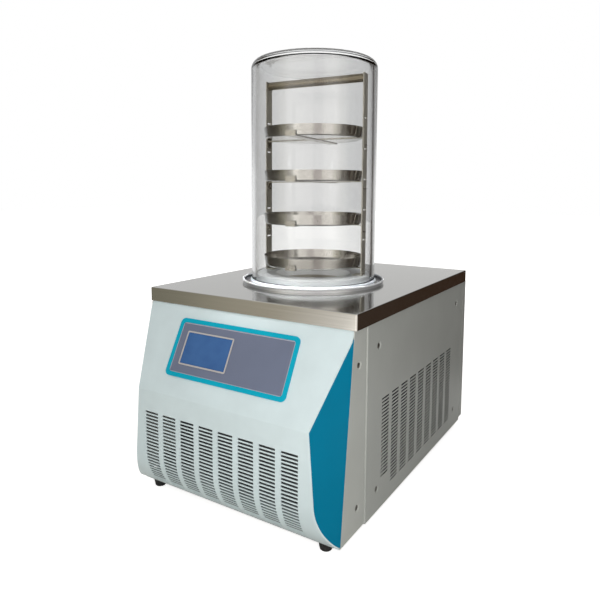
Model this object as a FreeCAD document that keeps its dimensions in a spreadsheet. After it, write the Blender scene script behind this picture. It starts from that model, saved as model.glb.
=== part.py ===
import FreeCAD, Part
import Sketcher
import math
import os
import re

# Benchtop freeze dryer: a cabinet with a cold trap under a clear drying chamber.
# Frame: +X right seen from the front, +Y to the back, +Z up; the origin lies on the
# bench, under the middle of the object's box.

SIZES = {
    # cabinet
    "body_width": 440, "plate_depth": 566, "plate_top": 376, "plate_flange": 26, "plate_gauge": 1.5,
    "plate_corner": 2.5, "plate_bend": 1.8, "front_reach": 73, "port_reach": 31, "brow_setback": 2.5,
    "knee_level": 207, "knee_round": 6, "arc_radius": 100, "arc_level": 94, "moulding_wall": 2,
    "lip_length": 28,
    "cheek_thick": 3, "cheek_slope": 34.2, "cheek_lean": 38, "cheek_gap": 0.25, "cheek_foot": 3,
    "side_inset": 2, "panel_rear": 12, "cover_depth": 21, "cover_foot": 6, "panel_gauge": 1.2,
    "panel_bend": 3, "panel_bottom": 18, "seam_back": 43,
    "strip_step": 1.5, "strip_return": 18, "panel_return": 14, "sheet_gap": 0.3,
    "base_gauge": 1.5, "base_flange": 24, "foot_height": 16, "foot_radius": 13, "foot_toe": 10,
    "foot_inset": 38, "foot_front": 21, "foot_back": 50,
    # slots
    "slot_height": 3.1, "side_slot_length": 29, "side_slot_pitch": 6.2, "side_slot_rows": 27,
    "side_short_rows": 23, "side_slot_columns": 9, "side_column_pitch": 42.5, "side_slot_first": 103,
    "side_slot_drop": 164, "front_slot_length": 31, "front_slot_height": 3.5, "front_slot_pitch": 6.1,
    "front_slot_rows": 24,
    "front_slot_columns": 8, "front_grille_inset": 58.2, "front_slot_drop": 207.5,
    # screws
    "screw_head": 3.8, "screw_dome": 1.4, "screw_shank": 1.9, "screw_length": 5, "screw_clear": 0.15,
    "dimple_radius": 7.5, "dimple_floor": 5, "dimple_depth": 1.6,
    # display
    "display_width": 255, "display_height": 104.5, "display_rise": 86, "display_border": 7.5,
    "display_corner": 9.5, "display_inner_corner": 5, "screen_corner": 3, "bezel_thick": 2,
    "overlay_thick": 1.2, "overlay_gap": 0.2, "screen_width": 104.5, "screen_height": 60.5,
    "screen_offset": 52.2, "screen_rise": 86.3, "screen_border": 2.5, "screen_thick": 7,
    "board_thick": 1.6, "board_width": 190, "board_height": 84, "standoff_radius": 3,
    # chamber and cold trap
    "jar_set": 237, "jar_radius": 125, "jar_wall": 8, "jar_height": 431.5, "jar_top": 15, "jar_round": 18,
    "jar_fillet": 4, "gasket_inner": 116.5, "gasket_outer": 128, "gasket_thick": 6, "ring_outer": 144.2,
    "ring_bead": 2, "ring_height": 8, "ring_gauge": 1.2, "trap_radius": 100, "trap_wall": 1.5,
    "trap_depth": 175,
    "trap_round": 12, "foam_thick": 38, "plate_hole_gap": 2, "foam_gap": 0.3,
    # rack and trays
    "disc_radius": 115, "disc_bore": 75, "disc_thick": 17.5, "rack_turn": 6, "rack_half": 106,
    "upright_width": 23, "upright_gauge": 2, "upright_foot": 16, "rack_height": 388.5, "handle_radius": 8,
    "handle_wall": 1.2, "tray_radius": 100, "tray_taper": 2.5, "tray_height": 21, "tray_wall": 1,
    "tray_round": 4, "tray_low": 34.5, "tray_pitch": 84, "shelf_gauge": 1.2, "shelf_width": 14,
    "shelf_cross": 20,
    "shelf_tab": 9, "shelf_hook": 13, "shelf_gap": 0.3, "rack_slot_height": 3,
    "rack_slot_first": 10.5, "rack_slot_pitch": 58.5, "rack_slots": 6,
    # refrigeration
    "core_width": 250, "core_height": 158, "core_depth": 36, "core_set": 16, "core_floor": 30,
    "shroud_gauge": 1.2, "shroud_gap": 6, "fan_hole": 78, "fan_radius": 72, "hub_radius": 20,
    "hub_depth": 22,
    "blade_gauge": 1.6, "blade_pitch": 28, "fan_blades": 5, "shaft_radius": 4, "shaft_fit": 0.05,
    "motor_radius": 30, "motor_depth": 34, "arm_width": 12, "arm_gauge": 2,
    "shell_radius": 64, "shell_height": 150, "shell_round": 24, "shell_inset": 128, "shell_back": 106,
    "mount_height": 12, "mount_radius": 11, "mount_spread": 58, "shell_plate": 3,
    "line_radius": 4, "line_bend": 16, "drier_radius": 12, "drier_length": 84,
    "box_width": 110, "box_depth": 96, "box_height": 104, "box_inset": 102, "box_back": 30,
    "box_gauge": 1.2,
    # back panel fittings
    "port_x": 62, "port_drop": 48, "port_bore": 12.5, "port_tube": 14, "port_flange": 20,
    "port_flange_thick": 6, "drain_x": 18, "drain_level": 62, "drain_pipe": 5, "drain_bore": 3.5,
    "valve_radius": 9, "valve_length": 20, "barb_length": 9, "stem_radius": 3,
    "handle_length": 34, "handle_width": 9, "handle_gauge": 3, "vent_x": 62, "vent_drop": 96,
    "knob_radius": 11, "knob_depth": 12, "vent_body": 8, "vent_length": 9,
    "inlet_inset": 70, "inlet_level": 82, "inlet_width": 50, "inlet_height": 30, "inlet_face": 3.5,
    "inlet_depth": 22, "socket_width": 24.5, "socket_height": 17, "socket_depth": 16, "blade_width": 2,
    "blade_height": 4, "switch_level": 124, "switch_width": 21, "switch_height": 26, "switch_face": 3,
    "rocker_gap": 0.9, "rocker_tilt": 9, "pin_radius": 1.2, "outlet_level": 160,
    "back_slot_columns": 4, "back_slot_rows": 7, "back_slot_pitch": 12, "back_column_pitch": 44,
}

# Places that several pieces share, worked out from the sizes above.
PLACES = {
    "total_depth": "front_reach + plate_depth - panel_rear + cover_depth + port_reach",
    "knee_y": "-total_depth / 2",
    "front_y": "knee_y + front_reach",
    "back_y": "front_y + plate_depth",
    "under_plate": "plate_top - plate_gauge",
    "rim_level": "plate_top - plate_flange",
    "case_top": "under_plate",
    "case_back": "back_y - panel_rear",
    "slope": "atan((front_reach + brow_setback) / (rim_level - knee_level))",
    "panel_face": "body_width / 2 - side_inset",
    "strip_face": "panel_face - strip_step",
    "base_floor": "foot_height + base_gauge",
    "seam_y": "front_y + seam_back",
    "lip_rear": "front_y - cheek_lean + lip_length",
    "grille_span": "body_width - 2 * front_grille_inset - front_slot_length",
    "front_column_pitch": "grille_span / (front_slot_columns - 1)",
    "base_side": "panel_face - panel_return - sheet_gap",
    "back_sheet": "case_back + cover_depth",
    "jar_y": "front_y + jar_set",
    "trap_lip": "plate_top + trap_wall",
    "jar_foot": "trap_lip + gasket_thick",
    "disc_top": "trap_lip + disc_thick",
    "rack_top": "disc_top + rack_height",
    "trap_floor": "plate_top - trap_depth",
    "foam_radius": "trap_radius + trap_wall + foam_thick",
    "foam_floor": "trap_floor - trap_wall - foam_thick",
    "core_front": "front_y + core_set",
    "shroud_y": "core_front + core_depth + shroud_gap",
    "fan_level": "core_floor + core_height / 2",
    "shell_y": "back_y - shell_back",
    "shell_floor": "base_floor + mount_height + shell_plate",
    "shell_x": "body_width / 2 - shell_inset",
    "box_x": "body_width / 2 - box_inset",
    "inlet_x": "body_width / 2 - inlet_inset",
    "port_level": "plate_top - port_drop",
    "vent_level": "plate_top - vent_drop",
}

doc = FreeCAD.newDocument("freeze_dryer")
sheet = doc.addObject("Spreadsheet::Sheet", "Params")
for row, (alias, value) in enumerate(SIZES.items(), start=1):
    sheet.set("A%d" % row, alias)
    sheet.set("B%d" % row, str(value))
    sheet.setAlias("B%d" % row, alias)
doc.recompute()

NODES = []


def ex(text):
    """Write an expression of size and place names in the sheet's own terms."""
    def swap(found):
        word = found.group(0)
        if word in PLACES:
            return "(" + ex(PLACES[word]) + ")"
        return "Params." + word if word in SIZES else word
    return re.sub(r"[a-z][a-z_]*", swap, str(text))


def num(text):
    """Value of an expression of size and place names."""
    value = sheet.evalExpression(ex(text))
    return float(getattr(value, "Value", value))


def vec(x, y, z):
    return FreeCAD.Vector(num(x), num(y), num(z))


def node(thing, label):
    """Name a finished sub-part and list it for the build's output."""
    thing.Label = label
    NODES.append(thing)
    return thing


def place(thing, x=0, y=0, z=0):
    """Bind a sub-part's position to the sheet."""
    for axis, text in (("x", x), ("y", y), ("z", z)):
        if str(text) != "0":
            thing.setExpression("Placement.Base." + axis, ex(text))
    return thing


# ---------------------------------------------------------------- sketch and body helpers

def body(label, listed=True):
    made = doc.addObject("PartDesign::Body", label)
    made.Label = label
    if listed:
        NODES.append(made)
    return made


def sketch(on, role, offset=0):
    """Sketch on one of a body's own origin planes, moved along its normal by offset."""
    made = on.newObject("Sketcher::SketchObject", on.Name + "_sketch")
    plane = [item for item in on.Origin.OriginFeatures if item.Role == role][0]
    made.AttachmentSupport = [(plane, "")]
    made.MapMode = "FlatFace"
    if str(offset) != "0":
        made.setExpression("AttachmentOffset.Base.z", ex(offset))
    return made


def fix(on, kind, geometry, point, text):
    index = on.addConstraint(constraint_on(kind, geometry, point, num(text)))
    on.setExpression("Constraints[%d]" % index, ex(text))


def constraint_on(kind, geometry, point, value):
    if kind == "Radius":
        return Sketcher.Constraint(kind, geometry, value)
    return Sketcher.Constraint(kind, -1, 1, geometry, point, value)


def outline(on, points):
    """Closed outline in a sketch.

    A point is (u, v), or (u, v, (cu, cv)) where the edge to the next point is an arc about
    that centre. A coordinate that starts with ~ is only a first guess, which the arc settles.
    """
    count = len(points)
    at = [FreeCAD.Vector(num(p[0].lstrip("~")), num(p[1].lstrip("~")), 0) for p in points]
    first = on.GeometryCount
    starts, ends = [], []
    for i, point in enumerate(points):
        a, b = at[i], at[(i + 1) % count]
        if len(point) == 3:
            centre = FreeCAD.Vector(num(point[2][0]), num(point[2][1]), 0)
            turn_a = math.atan2(a.y - centre.y, a.x - centre.x)
            turn_b = math.atan2(b.y - centre.y, b.x - centre.x)
            ahead = (a - centre).cross(b - centre).z > 0
            circle = Part.Circle(centre, FreeCAD.Vector(0, 0, 1), (a - centre).Length)
            arc = Part.ArcOfCircle(circle, turn_a, turn_b) if ahead else Part.ArcOfCircle(circle, turn_b,
                                                                                          turn_a)
            on.addGeometry(arc)
            starts.append(1 if ahead else 2)
            ends.append(2 if ahead else 1)
        else:
            on.addGeometry(Part.LineSegment(a, b))
            starts.append(1)
            ends.append(2)
    for i in range(count):
        j = (i + 1) % count
        on.addConstraint(Sketcher.Constraint("Coincident", first + i, ends[i], first + j, starts[j]))
    for i, point in enumerate(points):
        if not point[0].startswith("~"):
            fix(on, "DistanceX", first + i, starts[i], point[0])
        if not point[1].startswith("~"):
            fix(on, "DistanceY", first + i, starts[i], point[1])
        if len(point) == 3:
            fix(on, "DistanceX", first + i, 3, point[2][0])
            fix(on, "DistanceY", first + i, 3, point[2][1])


def rectangle(on, u0, u1, v0, v1):
    outline(on, [(u0, v0), (u1, v0), (u1, v1), (u0, v1)])


def circle(on, u, v, radius):
    index = on.addGeometry(Part.Circle(FreeCAD.Vector(num(u), num(v), 0), FreeCAD.Vector(0, 0, 1),
                                       num(radius)))
    fix(on, "DistanceX", index, 3, u)
    fix(on, "DistanceY", index, 3, v)
    fix(on, "Radius", index, 0, radius)


def pad(on, profile, length, both=False, back=False):
    made = on.newObject("PartDesign::Pad", on.Name + "_pad")
    made.Profile = profile
    made.setExpression("Length", ex(length))
    made.SideType = "Symmetric" if both else "One side"
    made.Reversed = back
    doc.recompute()
    return made


def pocket(on, profile, length=None, both=False, back=False):
    before = on.Shape.Volume
    made = on.newObject("PartDesign::Pocket", on.Name + "_pocket")
    made.Profile = profile
    if length is None:
        made.Type = "ThroughAll"
    else:
        made.setExpression("Length", ex(length))
    made.SideType = "Symmetric" if both else "One side"
    made.Reversed = back
    doc.recompute()
    if made.Shape.Volume > before - 1e-6:
        raise RuntimeError("a pocket in %s cuts nothing" % on.Label)
    return made


def turn(on, profile, axis="V_Axis"):
    """Revolve a profile about one of its sketch's own axes."""
    made = on.newObject("PartDesign::Revolution", on.Name + "_turn")
    made.Profile = profile
    made.ReferenceAxis = (profile, [axis])
    made.Angle = 360
    doc.recompute()
    return made


def pattern(on, feature, profile, axis, length, count, axis2=None, length2=None, count2=None):
    """Repeat a feature along one or two axes of its sketch; a length starting with - runs backwards."""
    made = on.newObject("PartDesign::LinearPattern", on.Name + "_pattern")
    made.Originals = [feature]
    made.Direction = (profile, [axis])
    made.Reversed = length.startswith("-")
    made.setExpression("Length", ex(length.lstrip("-")))
    made.setExpression("Occurrences", ex(count))
    if axis2:
        made.Direction2 = (profile, [axis2])
        made.Reversed2 = length2.startswith("-")
        made.setExpression("Length2", ex(length2.lstrip("-")))
        made.setExpression("Occurrences2", ex(count2))
    on.Tip = made
    doc.recompute()
    return made


def edges(shape, test):
    """Names of a shape's edges whose end points all pass a test."""
    names = []
    for i, edge in enumerate(shape.Edges, start=1):
        if len(edge.Vertexes) == 2 and all(test(v.Point) for v in edge.Vertexes):
            names.append("Edge%d" % i)
    return names


def near(a, text):
    return abs(a - num(text)) < 1e-3


def round_off(on, names, radius):
    base = on.Tip
    made = on.newObject("PartDesign::Fillet", on.Name + "_fillet")
    made.Base = (base, names)
    made.setExpression("Radius", ex(radius))
    doc.recompute()
    return made


def block(name, x0, x1, y0, y1, z0, z1):
    made = doc.addObject("Part::Box", name)
    made.setExpression("Length", ex("(%s) - (%s)" % (x1, x0)))
    made.setExpression("Width", ex("(%s) - (%s)" % (y1, y0)))
    made.setExpression("Height", ex("(%s) - (%s)" % (z1, z0)))
    return place(made, x0, y0, z0)


AXES = {"X": FreeCAD.Rotation(FreeCAD.Vector(0, 1, 0), 90),
        "Y": FreeCAD.Rotation(FreeCAD.Vector(1, 0, 0), -90),
        "Z": FreeCAD.Rotation()}


def rod(name, axis, radius, length, x=0, y=0, z=0):
    """Cylinder whose foot is at (x, y, z), running along +axis."""
    made = doc.addObject("Part::Cylinder", name)
    made.Placement = FreeCAD.Placement(FreeCAD.Vector(), AXES[axis])
    made.setExpression("Radius", ex(radius))
    made.setExpression("Height", ex(length))
    return place(made, x, y, z)


def cut(name, base, tools):
    made = doc.addObject("Part::Cut", name)
    made.Base = base
    made.Tool = tools[0] if len(tools) == 1 else group(name + "_tools", tools)
    return made


def group(name, parts):
    made = doc.addObject("Part::MultiFuse", name)
    made.Shapes = parts
    return made


def common(name, parts):
    made = doc.addObject("Part::MultiCommon", name)
    made.Shapes = parts
    return made


def shaped(name, shape):
    made = doc.addObject("Part::Feature", name)
    made.Shape = shape
    return made


# ---------------------------------------------------------------- cabinet

def make_top_plate():
    """Stainless worktop folded down all round, with the trap's mouth."""
    on = body("top_plate")
    profile = sketch(on, "XY_Plane", "rim_level")
    rectangle(profile, "-body_width / 2", "body_width / 2", "front_y", "back_y")
    pad(on, profile, "plate_flange")
    corners = edges(on.Shape, lambda p: near(abs(p.x), "body_width / 2"))
    upright = [n for n in corners if on.Shape.getElement(n).BoundBox.ZLength > 1]
    round_off(on, upright, "plate_corner")
    rims = ["Edge%d" % i for i, e in enumerate(on.Shape.Edges, start=1) if near(e.BoundBox.ZMin,
                                                                                "plate_top")]
    round_off(on, rims, "plate_bend")
    hollow = sketch(on, "XY_Plane", "rim_level")
    inner = "body_width / 2 - plate_gauge"
    rectangle(hollow, "-(%s)" % inner, inner, "front_y + plate_gauge", "back_y - plate_gauge")
    pocket(on, hollow, "plate_flange - plate_gauge", back=True)
    mouth = sketch(on, "XY_Plane", "plate_top")
    circle(mouth, "0", "jar_y", "trap_radius + trap_wall + plate_hole_gap")
    pocket(on, mouth, "plate_gauge * 2")


def make_base_tray():
    """Folded base sheet: flanges left, right and back, a plain floor under the front moulding's lip."""
    on = body("base_tray")
    rear = "back_sheet - panel_gauge - sheet_gap"
    profile = sketch(on, "XY_Plane", "foot_height")
    rectangle(profile, "-base_side", "base_side", "front_y - cheek_lean + 2", rear)
    pad(on, profile, "base_flange")
    hollow = sketch(on, "XY_Plane", "foot_height + base_flange")
    inside = ("base_side - base_gauge", "%s - base_gauge" % rear)
    open_end = ("base_side + 10", "front_y - cheek_lean - 10")
    start = "lip_rear + sheet_gap"
    outline(hollow, [("-(%s)" % open_end[0], open_end[1]), open_end, (open_end[0], start),
                     (inside[0], start),
                     inside, ("-(%s)" % inside[0], inside[1]), ("-(%s)" % inside[0], start),
                     ("-(%s)" % open_end[0], start)])
    pocket(on, hollow, "base_flange - base_gauge")


def make_feet():
    """Four tapered rubber feet with a screw recess below."""
    spots = {"left": "-(body_width / 2 - foot_inset)", "right": "body_width / 2 - foot_inset"}
    rows = {"front": "front_y - foot_front", "back": "back_y - foot_back"}
    for row, y in rows.items():
        for side, x in spots.items():
            on = body("foot_%s_%s" % (row, side))
            profile = sketch(on, "XZ_Plane")
            outline(profile, [("foot_toe / 2", "0"), ("foot_toe - 1", "0"), ("foot_toe", "1"),
                              ("foot_radius", "foot_height"),
                              ("foot_toe / 5", "foot_height"), ("foot_toe / 5", "foot_height / 3"),
                              ("foot_toe / 2", "foot_height / 3")])
            turn(on, profile)
            place(on, x, y)


def front_line(depth, level):
    """Y of the front moulding's sloped face, set back square to the face by depth, at a level."""
    return "knee_y + (%s - knee_level) * tan(slope) + (%s) / cos(slope)" % (level, depth)


def moulding_points(depth, floor):
    """Front moulding's side view from its top to its lower edge at floor, set back by depth."""
    knee = "knee_level - (%s) * (1 - cos(slope)) / sin(slope)" % depth
    radius = "(arc_radius - (%s))" % depth
    centre = ("knee_y + arc_radius", "arc_level")
    end = "%s - sqrt(%s^2 - (arc_level - (%s))^2)" % (centre[0], radius, floor)
    return [(front_line(depth, "case_top"), "case_top"), ("knee_y + (%s)" % depth, knee),
            ("knee_y + (%s)" % depth, "arc_level", centre), ("~" + end, floor)]


def cheek_plane(side, depth):
    """Placement of a block whose low-X face lies on a cheek's outer face, moved inwards by depth."""
    lean = num("cheek_lean / (rim_level - panel_bottom)")
    rate = math.tan(math.radians(num("cheek_slope")))
    out = FreeCAD.Vector(1, -rate, lean * rate).normalize()
    along = FreeCAD.Vector(rate, 1, 0).normalize()
    up = out.cross(along)
    start = vec("strip_face", "front_y", "rim_level") - out * depth
    corner = start - along * 400 - up * 500
    if side < 0:
        out, along, corner = (FreeCAD.Vector(-v.x, v.y, v.z) for v in (out, along, corner))
        turned = FreeCAD.Rotation(out, along, out.cross(along), "XYZ")
        return FreeCAD.Placement(corner + up_mirror(up) * 1000, turned)
    return FreeCAD.Placement(corner, FreeCAD.Rotation(out, along, up, "XYZ"))


def up_mirror(up):
    return FreeCAD.Vector(-up.x, up.y, up.z)


def cheek_block(name, side, depth, thick):
    """Long slab on a cheek's plane."""
    made = doc.addObject("Part::Box", name)
    made.Length = thick
    made.Width = 800
    made.Height = 1000
    made.Placement = cheek_plane(side, depth)
    return made


def front_slot_blocks():
    """Slots of the intake grille, square to the moulding's face and bent round its lower curve."""
    length, height = num("front_slot_length"), num("front_slot_height")
    radius, pitch = num("arc_radius"), num("front_slot_pitch")
    top = num("plate_top - front_slot_drop") - height / 2
    straight = top - num("arc_level")
    centre = vec("0", "knee_y + arc_radius", "arc_level")
    first = -num("front_column_pitch") * (num("front_slot_columns") - 1) / 2
    blocks = []
    for row in range(int(num("front_slot_rows"))):
        drop = row * pitch
        angle = max(0, drop - straight) / radius
        level = top - min(drop, straight)
        spot = centre + FreeCAD.Vector(0, -radius * math.cos(angle), -radius * math.sin(angle))
        spot.z += level - num("arc_level") if angle == 0 else 0
        for column in range(int(num("front_slot_columns"))):
            box = Part.makeBox(length, 4 * num("moulding_wall"), height,
                               FreeCAD.Vector(-length / 2, -2 * num("moulding_wall"), -height / 2))
            turned = FreeCAD.Rotation(FreeCAD.Vector(1, 0, 0), math.degrees(angle))
            x = first + column * num("front_column_pitch")
            box.Placement = FreeCAD.Placement(FreeCAD.Vector(x, spot.y, spot.z), turned)
            blocks.append(box)
    return Part.makeCompound(blocks)


def make_front():
    """Moulded front skin with its wrapped grille, and the two coloured cheeks that close its ends."""
    skin = body("front_skin", listed=False)
    profile = sketch(skin, "YZ_Plane")
    lip_top = "base_floor + moulding_wall"
    outer, inner = moulding_points("0", "base_floor"), moulding_points("moulding_wall", lip_top)
    back = [inner[3] + (inner[2][2],), inner[2][:2], inner[1], inner[0]]
    outline(profile, outer + [("lip_rear", "base_floor"), ("lip_rear", lip_top)] + back)
    pad(skin, profile, "2 * (strip_face - panel_gauge - sheet_gap)", both=True)
    knees = edges(skin.Shape, lambda p: near(p.y, "knee_y") and near(p.z, "knee_level"))
    round_off(skin, knees, "knee_round")
    slots = shaped("front_slots", front_slot_blocks())
    window = slope_block("front_window", "screen_offset", "screen_rise", "screen_width - 2 * screen_border",
                         "screen_height - 2 * screen_border", "-3 * moulding_wall", "moulding_wall")
    outside = [cheek_block("outside_right", 1, 0, 300), cheek_block("outside_left", -1, 0, 300)]
    node(cut("front_panel", skin, [slots, window] + outside), "front_panel")
    for side, word in ((1, "right"), (-1, "left")):
        form = body("cheek_form_" + word, listed=False)
        profile = sketch(form, "YZ_Plane")
        depth = "moulding_wall + cheek_gap"
        foot = "%s + cheek_foot" % lip_top
        front = moulding_points(depth, foot)
        rate = "cheek_lean / (rim_level - panel_bottom)"
        rear = "front_y - cheek_gap - %s * (rim_level - (%s))"
        tip = "((front_y - cheek_gap - %s * rim_level - (%s)) / (tan(slope) - %s))" % (rate,
                                                                                       front_line(depth,
                                                                                                  "0"),
                                                                                       rate)
        outline(profile, [(rear % (rate, tip), tip)] + front[1:] + [(rear % (rate, foot), foot)])
        pad(form, profile, "body_width", both=True)
        slab = cheek_block("cheek_slab_" + word, side, num("cheek_thick"), num("cheek_thick"))
        node(common("cheek_" + word, [form, slab]), "cheek_" + word)


def slope_placement(offset, rise, lift):
    """Placement on the sloped face: X along the front, Y up the slope, Z out of it."""
    angle = num("slope")
    up = FreeCAD.Vector(0, math.sin(math.radians(angle)), math.cos(math.radians(angle)))
    out = FreeCAD.Vector(0, -math.cos(math.radians(angle)), math.sin(math.radians(angle)))
    spot = vec("-(%s)" % offset, "knee_y", "knee_level") + up * num(rise) + out * num(lift)
    return FreeCAD.Placement(spot, FreeCAD.Rotation(FreeCAD.Vector(1, 0, 0), 90 - angle))


def slope_block(name, offset, rise, width, height, low, high):
    """Block centred on a point of the sloped face."""
    made = doc.addObject("Part::Box", name)
    made.setExpression("Length", ex(width))
    made.setExpression("Width", ex(height))
    made.setExpression("Height", ex("(%s) - (%s)" % (high, low)))
    at = slope_placement(offset, rise, low)
    shift = FreeCAD.Vector(-num(width) / 2, -num(height) / 2, 0)
    made.Placement = at.multiply(FreeCAD.Placement(shift, FreeCAD.Rotation()))
    return made


def slope_slab(name, offset, rise, width, height, low, high, corner):
    """Slab with rounded corners, centred on a point of the sloped face."""
    on = body(name, listed=False)
    profile = sketch(on, "XY_Plane")
    rectangle(profile, "-(%s) / 2" % width, "(%s) / 2" % width, "-(%s) / 2" % height, "(%s) / 2" % height)
    pad(on, profile, "(%s) - (%s)" % (high, low))
    shape = on.Shape
    sides = edges(shape, lambda p: near(abs(p.x), "(%s) / 2" % width))
    round_off(on, [n for n in sides if shape.getElement(n).BoundBox.ZLength > 0.1], corner)
    on.Placement = slope_placement(offset, rise, low)
    return on


def make_display():
    """Rounded colour bezel, dark overlay, framed screen and the board behind them."""
    at = ("0", "display_rise")
    inside = ("display_width - 2 * display_border", "display_height - 2 * display_border")
    rim = slope_slab("bezel_rim", *at, "display_width", "display_height", "0", "bezel_thick",
                     "display_corner")
    hollow = slope_slab("bezel_hollow", *at, *inside, "-1", "bezel_thick + 1", "display_inner_corner")
    node(cut("display_bezel", rim, [hollow]), "display_bezel")
    sheet_size = ("%s - 2 * overlay_gap" % inside[0], "%s - 2 * overlay_gap" % inside[1])
    overlay = slope_slab("overlay_sheet", *at, *sheet_size, "0", "overlay_thick",
                         "display_inner_corner - overlay_gap")
    spot = ("screen_offset", "screen_rise")
    seat = slope_slab("screen_seat", *spot, "screen_width + 2 * overlay_gap",
                      "screen_height + 2 * overlay_gap", "-1",
                      "overlay_thick + 1", "screen_corner + overlay_gap")
    node(cut("display_overlay", overlay, [seat]), "display_overlay")
    frame_outer = slope_slab("frame_outer", *spot, "screen_width", "screen_height", "0",
                             "overlay_thick + 0.6",
                             "screen_corner")
    frame_inner = slope_block("frame_inner", *spot, "screen_width - 2 * screen_border",
                              "screen_height - 2 * screen_border", "-1", "overlay_thick + 2")
    node(cut("screen_frame", frame_outer, [frame_inner]), "screen_frame")
    glass = slope_block("lcd_screen", *spot, "screen_width - 2 * screen_border - 2 * overlay_gap",
                        "screen_height - 2 * screen_border - 2 * overlay_gap",
                        "overlay_thick - screen_thick",
                        "overlay_thick")
    node(glass, "lcd_screen")
    low = "overlay_thick - screen_thick - board_thick"
    board = slope_block("board_sheet", "0", "display_rise - 2", "board_width", "board_height", low,
                        "overlay_thick - screen_thick")
    posts = []
    for i, (u, v) in enumerate(((-1, -1), (1, -1), (1, 1), (-1, 1))):
        post = doc.addObject("Part::Cylinder", "board_post_%d" % i)
        post.setExpression("Radius", ex("standoff_radius"))
        post.setExpression("Height", ex("screen_thick - overlay_thick - moulding_wall"))
        at = slope_placement("0", "display_rise - 2", "overlay_thick - screen_thick")
        shift = vec("board_width / 2 - 6", "board_height / 2 - 6", "0")
        post.Placement = at.multiply(FreeCAD.Placement(FreeCAD.Vector(shift.x * u, shift.y * v, 0),
                                                       FreeCAD.Rotation()))
        posts.append(post)
    node(group("control_board", [board] + posts), "control_board")


SCREW_ROWS = {"strip": ("strip_face", "front_y + 17", ("plate_top - 84", "plate_top - 317")),
              "panel_front": ("panel_face", "front_y + 87.5", ("plate_top - 69", "plate_top - 317.5")),
              "panel_back": ("panel_face", "front_y + 505", ("plate_top - 69", "plate_top - 317.5"))}


def press_dimples(on, side, rows):
    """Pressed dimples and clearance holes for the case screws in a side sheet."""
    sign = "" if side > 0 else "-"
    spots = [(SCREW_ROWS[row][0], SCREW_ROWS[row][1],
              level) for row in rows for level in SCREW_ROWS[row][2]]
    for kind, narrow, depth in (("Additive", "dimple_floor + panel_gauge", "dimple_depth + panel_gauge"),
                                ("Subtractive", "dimple_floor", "dimple_depth")):
        for face, y, level in spots:
            made = on.newObject("PartDesign::%sCone" % kind, on.Name + "_dimple")
            made.Placement = FreeCAD.Placement(FreeCAD.Vector(),
                                               FreeCAD.Rotation(FreeCAD.Vector(0, 1, 0), -90 * side))
            made.setExpression("Radius1", ex("dimple_radius"))
            made.setExpression("Radius2", ex(narrow))
            made.setExpression("Height", ex(depth))
            place(made, "%s(%s)" % (sign, face), y, level)
    doc.recompute()
    holes = sketch(on, "YZ_Plane", "%s(%s)" % (sign, spots[0][0]))
    for face, y, level in spots:
        circle(holes, y, level, "screw_shank + screw_clear")
    pocket(on, holes, "screw_length * 4", both=True)


def make_sides():
    """Corner strips behind the cheeks and the slotted side panels that lap over them."""
    for side, word in ((1, "right"), (-1, "left")):
        sign = "" if side > 0 else "-"
        back = side > 0
        strip = body("side_strip_" + word)
        profile = sketch(strip, "YZ_Plane", "%s(strip_face)" % sign)
        low = "base_floor + moulding_wall + sheet_gap"
        lean = "cheek_lean * (rim_level - (%s)) / (rim_level - panel_bottom)" % low
        rear = "seam_y - sheet_gap"
        outline(profile, [("front_y - (%s)" % lean, low), (rear, low), (rear, "case_top"),
                          ("front_y + plate_gauge + 1", "case_top"),
                          ("front_y + plate_gauge + 1", "rim_level - 1"), ("front_y", "rim_level - 1")])
        pad(strip, profile, "panel_gauge", back=back)
        fold = sketch(strip, "YZ_Plane", "%s(strip_face)" % sign)
        rectangle(fold, "%s - panel_gauge" % rear, rear, "base_floor + base_flange", "case_top")
        pad(strip, fold, "strip_return", back=back)
        press_dimples(strip, side, ("strip",))
        make_side_panel(side, word)


def make_side_panel(side, word):
    on = body("side_panel_" + word)
    sign = "" if side > 0 else "-"
    face = "panel_face"
    hem = "panel_face - panel_return"
    plan = [(face, "seam_y"), (face, "case_back"), (hem, "case_back"), (hem, "case_back - panel_gauge"),
            ("%s - panel_gauge" % face, "case_back - panel_gauge"),
            ("%s - panel_gauge" % face, "seam_y + panel_gauge"),
            (hem, "seam_y + panel_gauge"), (hem, "seam_y")]
    profile = sketch(on, "XY_Plane", "panel_bottom")
    outline(profile, [("%s(%s)" % (sign, u), v) for u, v in plan])
    pad(on, profile, "case_top - panel_bottom")
    shape = on.Shape
    bends = edges(shape, lambda p: near(abs(p.x), "panel_face"))
    round_off(on, [n for n in bends if shape.getElement(n).BoundBox.ZLength > 100], "panel_bend")
    press_dimples(on, side, ("panel_front", "panel_back"))
    slots(on, side, "side_slot_rows", "side_slot_columns - 1", "side_slot_first + side_column_pitch")
    slots(on, side, "side_short_rows", "1", "side_slot_first")


def slots(on, side, rows, columns, start):
    """Block of vent slots in a side panel, counted back from start behind the plate's front."""
    profile = sketch(on, "YZ_Plane", "%s(panel_face)" % ("" if side > 0 else "-"))
    top = "plate_top - side_slot_drop"
    rectangle(profile, "front_y + " + start, "front_y + %s + side_slot_length" % start,
              "%s - slot_height" % top, top)
    made = pocket(on, profile, "panel_gauge * 3", both=True)
    if num(columns) > 1:
        pattern(on, made, profile, "V_Axis", "-side_slot_pitch * (%s - 1)" % rows, rows,
                "H_Axis", "side_column_pitch * (%s - 1)" % columns, columns)
    else:
        pattern(on, made, profile, "V_Axis", "-side_slot_pitch * (%s - 1)" % rows, rows)


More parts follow.
